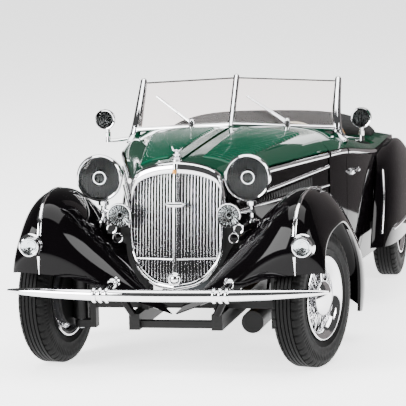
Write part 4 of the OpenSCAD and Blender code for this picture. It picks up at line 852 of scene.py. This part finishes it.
# Clear acrylic sheet, faintly warm, too thin to bend light much
screen_acrylic, _, _ = new_material(
    "screen_acrylic_clear", Base_Color=srgb("#f6eeec"), Roughness=0.01, IOR=1.2, Transmission_Weight=1.0)
edge_low, edge_high = screen_base + [0.35, 0, 0.35], screen_top
across = unit(edge_low[1] - edge_low[0])
out = unit(np.cross(across, UP_SCREEN))
corners = np.array([edge_low[0], edge_low[1], edge_high[1], edge_high[0]])
pane_points = np.concatenate([corners - 0.35 * out, corners + 0.35 * out])
pane_faces = [(0, 1, 2, 3), (7, 6, 5, 4), (1, 0, 4, 5), (2, 1, 5, 6), (3, 2, 6, 7), (0, 3, 7, 4)]
if out[1] > 0:
    pane_faces = [f[::-1] for f in pane_faces]
piece("windscreen_panes", both([(pane_points, pane_faces)]), screen_acrylic, "car_body",
      ["windscreen_glass"])
post = through([(37.6, 93.2, 61.6), screen_base[1] + [1.4, 1.6, -1],
                screen_base[1] + 8 * UP_SCREEN + [0.7, 0.4, 0],
                screen_top[1] + [0.4, 0.2, 0.5]], 24)
frame_parts = both([
    tube(post, np.linspace(1.9, 1.15, 24), 20),
    tube(screen_base + [[0, 0, 0], [0.4, 0, 0]], 0.95, 16),
])
frame_parts += [tube([screen_base[0] - [0, 0.4, 0.6], screen_top[0] + [0, 0, 0.4]], [1.1, 1.05], 20),
                ball(screen_top[0] + [0, 0, 0.3], 1.05, 16)]
frame_parts += both([ball(post[-1], 1.15, 16), lathe([(2.2, 0), (2.1, 0.5), (1.4, 1.2)], (37.6, 93.2, 60.9),
                                                    (0, 0.2, 1), 28)])
plated("windscreen_frame_bars", frame_parts, "windscreen_frame")
wiper_parts = []
for x, lean, drop in ((19.5, -14.7, 3.8), (-14.5, -13.1, 4.4)):
    heel = np.array([x, 86.2, 68.4])
    tip = heel + [lean, drop, 9.2]
    wiper_parts.append(bar(heel - [0, 0.2, 1.7], heel + [0, 0, 0.7], 1.0, 20))
    wiper_parts.append(ball(heel + [0, 0, 0.6], 1.0, 20))
    wiper_parts += [tube([heel, heel + 0.5 * (tip - heel), tip], [0.7, 0.55, 0.35], 12)]
    wiper_parts += [bar(heel + 0.4 * (tip - heel) - [0, 0.5, 0], tip - [0, 0.5, 0], 0.42, 12)]
plated("wiper_arms", wiper_parts, "wipers")

# ---- Cabin ----
# A painted dash with four dials, an ivory three-spoked wheel, a leather bench with pleats, and
# two levers on the tunnel.
# Tan lacquer, glossy
dash_paint, _, _ = new_material("dash_panel_tan_lacquer", Base_Color=srgb("#8a6a45"), Roughness=0.2,
                                Coat_Weight=0.5)
x = np.linspace(38, -38, 41)
dash_outline = [(-38, 49), (38, 49)] + [(a, float(top_z(a, 94.4)) - WALL - 0.7) for a in x]
points, faces = prism(dash_outline, "z", 94.4, 96.0)
points = points[:, [0, 2, 1]]
piece("dash_panel", [(points, [f[::-1] for f in faces])], dash_paint, "car_body", ["dashboard"])
# Printed cream card
dial_face, _, _ = new_material("dial_face_cream", Base_Color=srgb("#e2d8bd"), Roughness=0.4)
dials, rims = [], []
for x in (-17, -5.5, 5.5, 17):
    dials.append(lathe([(2.3, 0), (2.3, 0.3), (0, 0.35)], (x, 95.9, 57), (0, 1, 0), 32))
    rim = [(2.7, 0), (2.7, 0.7), (2.45, 0.9), (2.2, 0.6), (2.2, 0)]
    rims.append(lathe(rim, (x, 95.9, 57), (0, 1, 0), 32))
piece("dash_dials", dials, dial_face, "car_body")
plated("dash_dial_rims", rims)
# Moulded ivory plastic, satin
ivory, _, _ = new_material("wheel_rim_ivory_plastic", Base_Color=srgb("#e6dfca"), Roughness=0.3)
lean = math.radians(90 - 24.2)
column_axis = np.array([0, math.sin(lean), math.cos(lean)])
wheel_side = np.array([1.0, 0, 0])
wheel_up = np.cross(column_axis, wheel_side)
wheel_at = np.array([17, 117, 55.9])
turn = np.linspace(0, 2 * np.pi, 72, endpoint=False)
hoop = wheel_at + 10.8 * (np.cos(turn)[:, None] * wheel_side + np.sin(turn)[:, None] * wheel_up)
wheel_parts = [tube(hoop, 0.68, 16, closed=True)]
wheel_parts += [lathe([(0.8, -1.2), (2.0, -1.1), (2.2, -0.4), (2.1, 0.9), (1.3, 1.35), (0, 1.4)], wheel_at,
                      column_axis, 32)]
for k in range(3):
    a = math.radians(120 * k + 90)
    arm = math.cos(a) * wheel_side + math.sin(a) * wheel_up
    wheel_parts.append(bar(wheel_at + 1.4 * arm, wheel_at + 10.5 * arm, 0.4, 12))
piece("steering_wheel_hoop", wheel_parts, ivory, "steering_wheel", ["steering_wheel"])
# Tan leather with a pebbled grain of about half a millimetre
leather, tree, surface = new_material("seat_leather_tan", Base_Color=srgb("#9a7448"), Roughness=0.45)
grain = add_node(tree, "ShaderNodeTexVoronoi", None, {"Scale": 2.2}, {"Vector": in_mm(tree)})
raised(tree, surface, grain.outputs["Distance"], 0.25, 0.0001)


def pleated(outline, half_width, pleat):
    """A stuffed roll of constant section across the car, drawn in by a seam at every pleat."""
    section = through(outline, 44, closed=True)
    middle = section.mean(axis=0)
    rings = []
    for x in np.linspace(-half_width, half_width, 187):
        seam = abs(math.cos(math.pi * (x + half_width) / pleat)) ** 14
        end = (1 - (abs(x) / half_width) ** 18) ** 0.5
        scale = (1 - 0.035 * seam) * (0.86 + 0.14 * end)
        ring = middle + (section - middle) * scale
        rings.append(np.column_stack([np.full(len(ring), x), ring]))
    rings = np.array(rings)
    n, m = rings.shape[:2]
    faces = quads(n, m, wrap_cols=True)
    faces += [tuple(range(m)), tuple(range((n - 1) * m, n * m))[::-1]]
    points = rings.reshape(-1, 3)
    outward = np.cross(points[m] - points[0], points[1] - points[0])
    if np.dot(outward, points[0] - rings[0].mean(axis=0)) > 0:
        faces = [f[::-1] for f in faces]
    return points, faces


bench = [(119, 20.5), (142, 20.5), (142.4, 36.3), (134, 38.2), (124, 38.9), (119.8, 38), (118.8, 34)]
backrest = [(143.2, 22.5), (146.2, 22.5), (146.4, 57.5), (145.3, 61), (143.2, 61.5), (141.6, 59),
            (140.8, 42), (142.9, 36)]
cushion = piece("bench_cushion", [pleated(bench, 31, 6.2)], leather, "car_body", ["seat_cushion"])
squab = piece("bench_backrest", [pleated(backrest, 31, 6.2)], leather, "car_body", ["seat_back"])
levers = [bar((0, 100, 31.2), (0, 106, 45), 0.5, 16), ball((0, 106, 45), 1.35, 24),
          bar((6, 104, 21), (6, 108, 35), 0.5, 16)]
plated("tunnel_levers", levers, "gear_lever")

# ---- Folded top ----
# Black canvas hood folded down behind the seats in three rolls, held by its frame inside.
# Black cotton canvas, matt, with a twill weave drawn at 0.2 mm
canvas, tree, surface = new_material("top_canvas_black", Base_Color=srgb("#141414"), Roughness=0.85)
weave = add_node(tree, "ShaderNodeTexWave", {"bands_direction": "DIAGONAL"},
                 {"Scale": 1.5, "Distortion": 1.0}, {"Vector": in_mm(tree)})
raised(tree, surface, weave.outputs["Fac"], 0.4, 0.0001)
half_top = float(side_x(160)) - 5.6
rings = []
for a in np.linspace(90, -90, 61):
    x = half_top * math.sin(math.radians(a))
    s = (1 - (abs(x) / (half_top + 0.6)) ** 4) ** 0.5
    u = np.concatenate([np.linspace(149, 172, 12), np.linspace(174.5, 148, 34)])
    rise = np.interp(u[12:], [148, 150, 155, 164, 172.6, 174.5], [3.6, 7.2, 7.9, 7, 4.4, 1.6])
    roll = 0.55 * np.abs(np.sin(np.pi * (u[12:] - 148) / 8.8))
    z = top_z(x, u) + np.concatenate([np.full(12, 0.1), 0.1 + (rise - 0.5 + roll) * s])
    rings.append(np.column_stack([np.full(len(u), x), 160 + (u - 160) * (0.4 + 0.6 * s), z]))
rings = np.array(rings)
n, m = rings.shape[:2]
faces = quads(n, m, wrap_cols=True) + [tuple(range(m)), tuple(range((n - 1) * m, n * m))[::-1]]
top_piece = piece("folded_top_canvas", [(rings.reshape(-1, 3), faces)], canvas, "car_body", ["folded_top"],
                  sharp=60)

# ---- Bright strips ----
# Plated brass mouldings pinned to the castings: a thick belt strip, two strips round the side
# louvres, a spear over each front fender and strips on the rear fenders.


def moulding(path, out, depth, height, sides=12):
    """A half-round strip along a path; out points away from the panel under it."""
    path = np.asarray(path, float)
    ahead = unit(np.gradient(path, axis=0))
    out = unit(np.broadcast_to(np.asarray(out, float), path.shape))
    out = unit(out - (out * ahead).sum(axis=1, keepdims=True) * ahead)
    side = np.cross(ahead, out)
    depth = np.broadcast_to(np.asarray(depth, float), (len(path),))
    height = np.broadcast_to(np.asarray(height, float), (len(path),))
    angle = np.linspace(0, 2 * np.pi, sides, endpoint=False)[:, None]
    rings = np.array([p + d * np.cos(angle) * o + h * np.sin(angle) * s
                      for p, o, s, d, h in zip(path, out, side, depth, height)])
    n, m = rings.shape[:2]
    faces = quads(n, m, wrap_cols=True, flip=True)
    faces += [tuple(range(m))[::-1], tuple(range((n - 1) * m, n * m))]
    return rings.reshape(-1, 3), faces


def side_strip(first, last, height, depth, half_height, rise=0.3):
    u = np.linspace(first, last, 60)
    path = np.column_stack([side_x(u) + rise, u, height(u)])
    return moulding(path, (1, 0, 0), depth, half_height)


strips = [
    side_strip(-1, 71, lambda u: belt_z(u) - 1.3, 0.6, 0.8),
    side_strip(5.5, 71, strip_top, 0.55, 0.6),
    side_strip(-1, 71, lambda u: 48.4 + 0 * u, 0.5, 0.4),
    side_strip(73, 88.1, lambda u: belt_z(u) - 1.2, 0.6, 0.8),
]
plated("body_side_strips", both(strips), "side_trim")
normals = grid_normals(front_grid)
column = 36


def fender_run(grid, normals, rows, column, depth, width, lift=0.1):
    path = grid[rows, column] + lift * normals[rows, column]
    return moulding(path, normals[rows, column], depth, width)


lamp_z = MARKER[2]
ahead = np.arange(34)[front_grid[:34, column, 2] > lamp_z + 2.8]
spear = np.arange(ahead[0], 67)
share = np.linspace(0, 1, len(spear))
fender_parts = [fender_run(front_grid, normals, spear, column, 0.45 * (1 - 0.5 * share),
                           0.75 * (1 - 0.6 * share))]
under = np.arange(34)[front_grid[:34, column, 2] < lamp_z - 2.8]
under = under[-7:]
fender_parts += [fender_run(front_grid, normals, under, column, 0.4, np.linspace(0.15, 0.5, len(under)))]
rear_normals = grid_normals(rear_grid)
edge = np.arange(6, 54)
fender_parts += [fender_run(rear_grid, rear_normals, 5, edge, 0.45, 0.5)]
edge = np.arange(15, 100)
fender_parts += [fender_run(rear_grid, rear_normals, edge, 6, 0.45, 0.6)]
plated("fender_strips", both(fender_parts), "fender_trim")
u = np.linspace(door_front + 1, door_rear - 1, 40)
path = np.column_stack([side_x(u) + 0.4, u, belt_z(u) - 1.2])
handle_x = float(flank_x(93.5, 50.5))
escutcheon = [(1.3, -0.2), (1.3, 0.5), (1.0, 0.8), (0.7, 1.4), (0.5, 1.6)]
door_parts = [
    moulding(path, (1, 0, 0), 0.6, 0.8),
    lathe(escutcheon, (handle_x, 93.5, 50.5), (1, 0, 0), 28),
    tube([(handle_x + 1.4, 92.7, 50.5), (handle_x + 1.5, 96, 50.5), (handle_x + 1.4, 100.7, 50.5)],
         [0.45, 0.65, 0.55], 16),
    ball((handle_x + 1.4, 100.9, 50.4), 0.8, 18),
]
for side in ("left", "right"):
    parts = door_parts if side == "left" else [mirrored(p) for p in door_parts]
    piece(f"door_strip_and_handle_{side}", parts, chrome, f"{side}_door", [f"door_trim_{side}"])

# ---- Wheels and tyres ----
# Plated rims laced with two rows of crossed wires to a hub under a domed cap, with a grey brake
# drum behind. The tyres are soft black rubber with five grooves and blocked shoulders.


def standing(part, side, turn=None):
    """A wheel part, drawn about its centre with x outwards, put in its place on the car."""
    points, faces = part
    points = np.asarray(points, float)
    if turn is None:
        points = points * [side, 1, 1] + [side * 41.8, WHEELBASE, 21.8]
    else:
        a = math.radians(-turn)
        x, y = side * (points[:, 0] + 8), points[:, 1]
        points = np.column_stack([
            side * 33.8 + x * math.cos(a) - y * math.sin(a),
            x * math.sin(a) + y * math.cos(a),
            points[:, 2] + 21.8])
    return points, faces if side > 0 else [f[::-1] for f in faces]


# Black rubber, dusted: matt with slightly shinier patches
rubber = hazed("tyre_rubber_black", "#060606", 0.9, 4.0, 0.45, 0.7, Specular_IOR_Level=0.1)
half = [(11.8, 3.05), (12.6, 3.3), (13.45, 3.8), (14.0, 4.15), (14.6, 4.3), (15.0, 4.48), (15.3, 4.62),
        (15.6, 4.5), (16.4, 4.62), (17.4, 4.69), (17.6, 4.7), (18.6, 4.66), (19.4, 4.5), (19.7, 4.44),
        (20.2, 4.25), (20.9, 3.95), (21.35, 3.6), (21.65, 3.0), (21.78, 2.75)]
tread = []
for k in (2, 1, 0, -1, -2):
    x = 1.25 * k
    tread += [(21.8, x + 0.19), (21.35, x + 0.14), (21.35, x - 0.14), (21.8, x - 0.19)]
section = np.array(half + tread + [(r, -x) for r, x in reversed(half)])
steps = 576
angle = np.linspace(0, 2 * np.pi, steps, endpoint=False)[:, None]
radius = np.broadcast_to(section[:, 0], (steps, len(section))).copy()
across = np.broadcast_to(section[:, 1], (steps, len(section))).copy()
notch = (np.mod(angle * 48 / np.pi, 2) > 1.35).astype(float)
shoulder = np.isin(np.round(section[:, 0], 2), [20.9, 21.35, 21.65, 21.78]) & (np.abs(section[:, 1]) > 2.7)
radius -= 0.32 * notch * shoulder[None, :]
knurl = (np.mod(angle * 96 / np.pi, 2) > 1.0).astype(float)
band = np.isin(np.round(section[:, 0], 1), [18.6, 19.4])
across -= 0.14 * knurl * band[None, :] * np.sign(section[:, 1])[None, :]
tyre_points = np.stack([across, radius * np.sin(angle), radius * np.cos(angle)], axis=-1).reshape(-1, 3)
tyre = (tyre_points, quads(steps, len(section), wrap_rows=True, wrap_cols=True))
rim_section = [
    (10.8, -2.5), (11.8, -3.0), (11.8, -3.4), (13.2, -4.15), (13.2, -4.45), (12.7, -4.45), (11.2, -3.8),
    (10.3, -1.9), (10.2, 0), (10.3, 1.9), (11.0, 3.4), (11.5, 3.9), (12.3, 4.25), (12.75, 4.47), (13.1, 4.5),
    (13.25, 4.35), (13.2, 4.15), (11.8, 3.4), (11.8, 3.0), (10.8, 2.5),
]
centre = (0, 0, 0)
n = len(rim_section)
points, faces = lathe(rim_section + rim_section[:1], centre, (1, 0, 0), 96)
wheel_bright = [(points, faces)]
wheel_bright += [lathe([(1.4, 2.0), (2.6, 1.9), (2.7, 3.3), (5.3, 3.4), (5.5, 3.6), (5.5, 3.9), (5.2, 4.3),
                        (4.5, 4.85), (3.4, 5.3), (2.4, 5.62), (1.2, 5.76), (0, 5.8)], centre, (1, 0, 0), 64)]
hub = [(3.1, -1.6), (3.2, -1.4), (3.2, 0.9), (2.5, 1.1), (2.5, 2.0)]
wheel_bright += [lathe(hub, centre, (1, 0, 0), 40)]
for level, start, lean in ((2.7, 0.0, 1), (2.5, 0.5, -1), (-0.4, 0.25, 1), (-0.6, 0.75, -1)):
    for k in range(18):
        a = 2 * math.pi * (k + start) / 18
        b = a + lean * math.radians(24)
        wheel_bright.append(bar((level, 2.45 * math.sin(a), 2.45 * math.cos(a)),
                                (0.9 if level > 0 else 0.1, 10.5 * math.sin(b), 10.5 * math.cos(b)), 0.17, 7))
# Zinc drum, painted dark grey
drum_grey, _, _ = new_material("brake_drum_dark_grey", Base_Color=srgb("#2b2b2d"), Roughness=0.5,
                               Metallic=0.4)
drum = [(1.4, -4.2), (9.0, -4.2), (9.2, -4.0), (9.2, -2.1), (8.9, -1.9), (3.0, -1.6)]
drum = [lathe(drum, centre, (1, 0, 0), 64)]
corners = [("front", "left", 1, 15.0), ("front", "right", -1, 10.0), ("rear", "left", 1, None),
           ("rear", "right", -1, None)]
for end, side, sign, turned in corners:
    body = f"{end}_{side}_wheel"
    piece(f"tyre_{side}_{end}_rubber", [standing(tyre, sign, turned)], rubber, body,
          [f"tyre_{end}_{side}"], sharp=45)
    piece(f"wheel_{side}_{end}_plated", [standing(p, sign, turned) for p in wheel_bright], chrome, body,
          [f"wheel_{end}_{side}"])
    piece(f"wheel_{side}_{end}_drum", [standing(p, sign, turned) for p in drum], drum_grey, body)

# ---- Chassis and running gear ----
# Black painted die-cast frame, axles and floor, with an aluminium engine and gearbox. All of it
# is screwed together from below.
# Satin black paint on the frame and floor
chassis_black, _, _ = new_material("chassis_satin_black", Base_Color=srgb("#050505"), Roughness=0.45,
                                   Specular_IOR_Level=0.2)
# Turned steel, left bare
steel = hazed("machined_steel", "#a9abad", 3.0, 3.0, 0.22, 0.4, Metallic=1.0)
# Engine castings, grey and dull; the radiator core is flat black
cast_grey, _, _ = new_material("engine_cast_grey", Base_Color=srgb("#4a4d50"), Roughness=0.5, Metallic=0.5)
core_black, _, _ = new_material("radiator_core_black", Base_Color=srgb("#050505"), Roughness=0.8)
dressing = {
    "chassis_frame": chassis_black, "floor_pan": chassis_black, "front_axle": chassis_black,
    "rear_axle": chassis_black, "exhaust_system": chassis_black, "knuckle_left": chassis_black,
    "knuckle_right": chassis_black, "steering_column": chassis_black, "kingpins": steel, "tie_rod": steel,
    "engine_block": cast_grey, "gearbox": cast_grey, "radiator_core": core_black,
}
for name, material in dressing.items():
    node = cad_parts[name]
    node.data.materials.clear()
    node.data.materials.append(material)

# ---- Stage ----
# A white studio sweep with one large soft light above, one at the car's right front, and a weaker
# one at its left. A grey card behind the left rear corner is mirrored in the doors but not seen
# itself. The camera looks slightly down on the car's left front quarter.
# White paper, lit from below as well so that it stays near white
white_sweep, _, surface = new_material("studio_white_sweep", Base_Color=srgb("#ffffff"), Roughness=0.9)
surface.inputs["Emission Color"].default_value = (1, 1, 1, 1)
surface.inputs["Emission Strength"].default_value = 2.2
mesh = bpy.data.meshes.new("studio_floor")
mesh.from_pydata([(-6, -2.5, 0), (6, -2.5, 0), (6, 7, 0), (-6, 7, 0)], [], [(0, 1, 2, 3)])
mesh.materials.append(white_sweep)
floor = bpy.data.objects.new("studio_floor", mesh)
bpy.context.scene.collection.objects.link(floor)
world = bpy.data.worlds.new("studio_air")
world.use_nodes = True
world.node_tree.nodes["Background"].inputs["Color"].default_value = (0.3, 0.3, 0.3, 1)
world.node_tree.nodes["Background"].inputs["Strength"].default_value = 0.3
bpy.context.scene.world = world


def soft_light(name, azimuth, elevation, distance, width, height, strength):
    """A rectangular soft light aimed at the car from a direction around it."""
    lamp = bpy.data.lights.new(name, "AREA")
    lamp.shape = "RECTANGLE"
    lamp.size, lamp.size_y, lamp.energy = width, height, strength
    made = bpy.data.objects.new(name, lamp)
    a, e = math.radians(azimuth), math.radians(elevation)
    place = Vector((math.sin(a) * math.cos(e), -math.cos(a) * math.cos(e), math.sin(e))) * distance
    made.location = place + Vector((0, 0, 0.04))
    made.rotation_euler = place.to_track_quat("Z", "Y").to_euler()
    bpy.context.scene.collection.objects.link(made)
    return made


lights = [
    soft_light("soft_overhead", 0, 86, 0.9, 1.1, 0.8, 18),
    soft_light("soft_right_front", -42, 22, 0.9, 0.5, 0.5, 16),
    soft_light("soft_left", 60, 30, 1.0, 0.4, 0.3, 6),
]
# Dark grey card, matt
grey_card, _, _ = new_material("studio_grey_card", Base_Color=srgb("#4c4848"), Roughness=0.9)
mesh = bpy.data.meshes.new("studio_flag")
mesh.from_pydata([(0.03, 0.2, 0), (0.5, 0.2, 0), (0.5, 0.2, 0.35), (0.03, 0.2, 0.35)], [], [(0, 1, 2, 3)])
mesh.materials.append(grey_card)
flag = bpy.data.objects.new("studio_flag", mesh)
bpy.context.scene.collection.objects.link(flag)
flag.visible_camera = False
flag.visible_shadow = False
camera_data = bpy.data.cameras.new("studio_camera")
camera = bpy.data.objects.new("studio_camera", camera_data)
bpy.context.scene.collection.objects.link(camera)
azimuth, elevation, roll = math.radians(11.74), math.radians(7.15), math.radians(-1.55)
back = np.array([math.sin(azimuth) * math.cos(elevation), -math.cos(azimuth) * math.cos(elevation),
                 math.sin(elevation)])
right = unit(np.cross([0, 0, 1.0], back))
up = np.cross(back, right)
right, up = (math.cos(roll) * right + math.sin(roll) * up, -math.sin(roll) * right + math.cos(roll) * up)
place = np.array([0.0004, -0.0631, 0.0459]) + 0.816 * back
rows = [[right[k], up[k], back[k], place[k]] for k in range(3)] + [[0, 0, 0, 1]]
camera.matrix_world = Matrix([[float(v) for v in row] for row in rows])
camera_data.sensor_width = 36
camera_data.lens = 217
camera_data.shift_x = -0.020
camera_data.shift_y = -0.002
bpy.context.scene.camera = camera
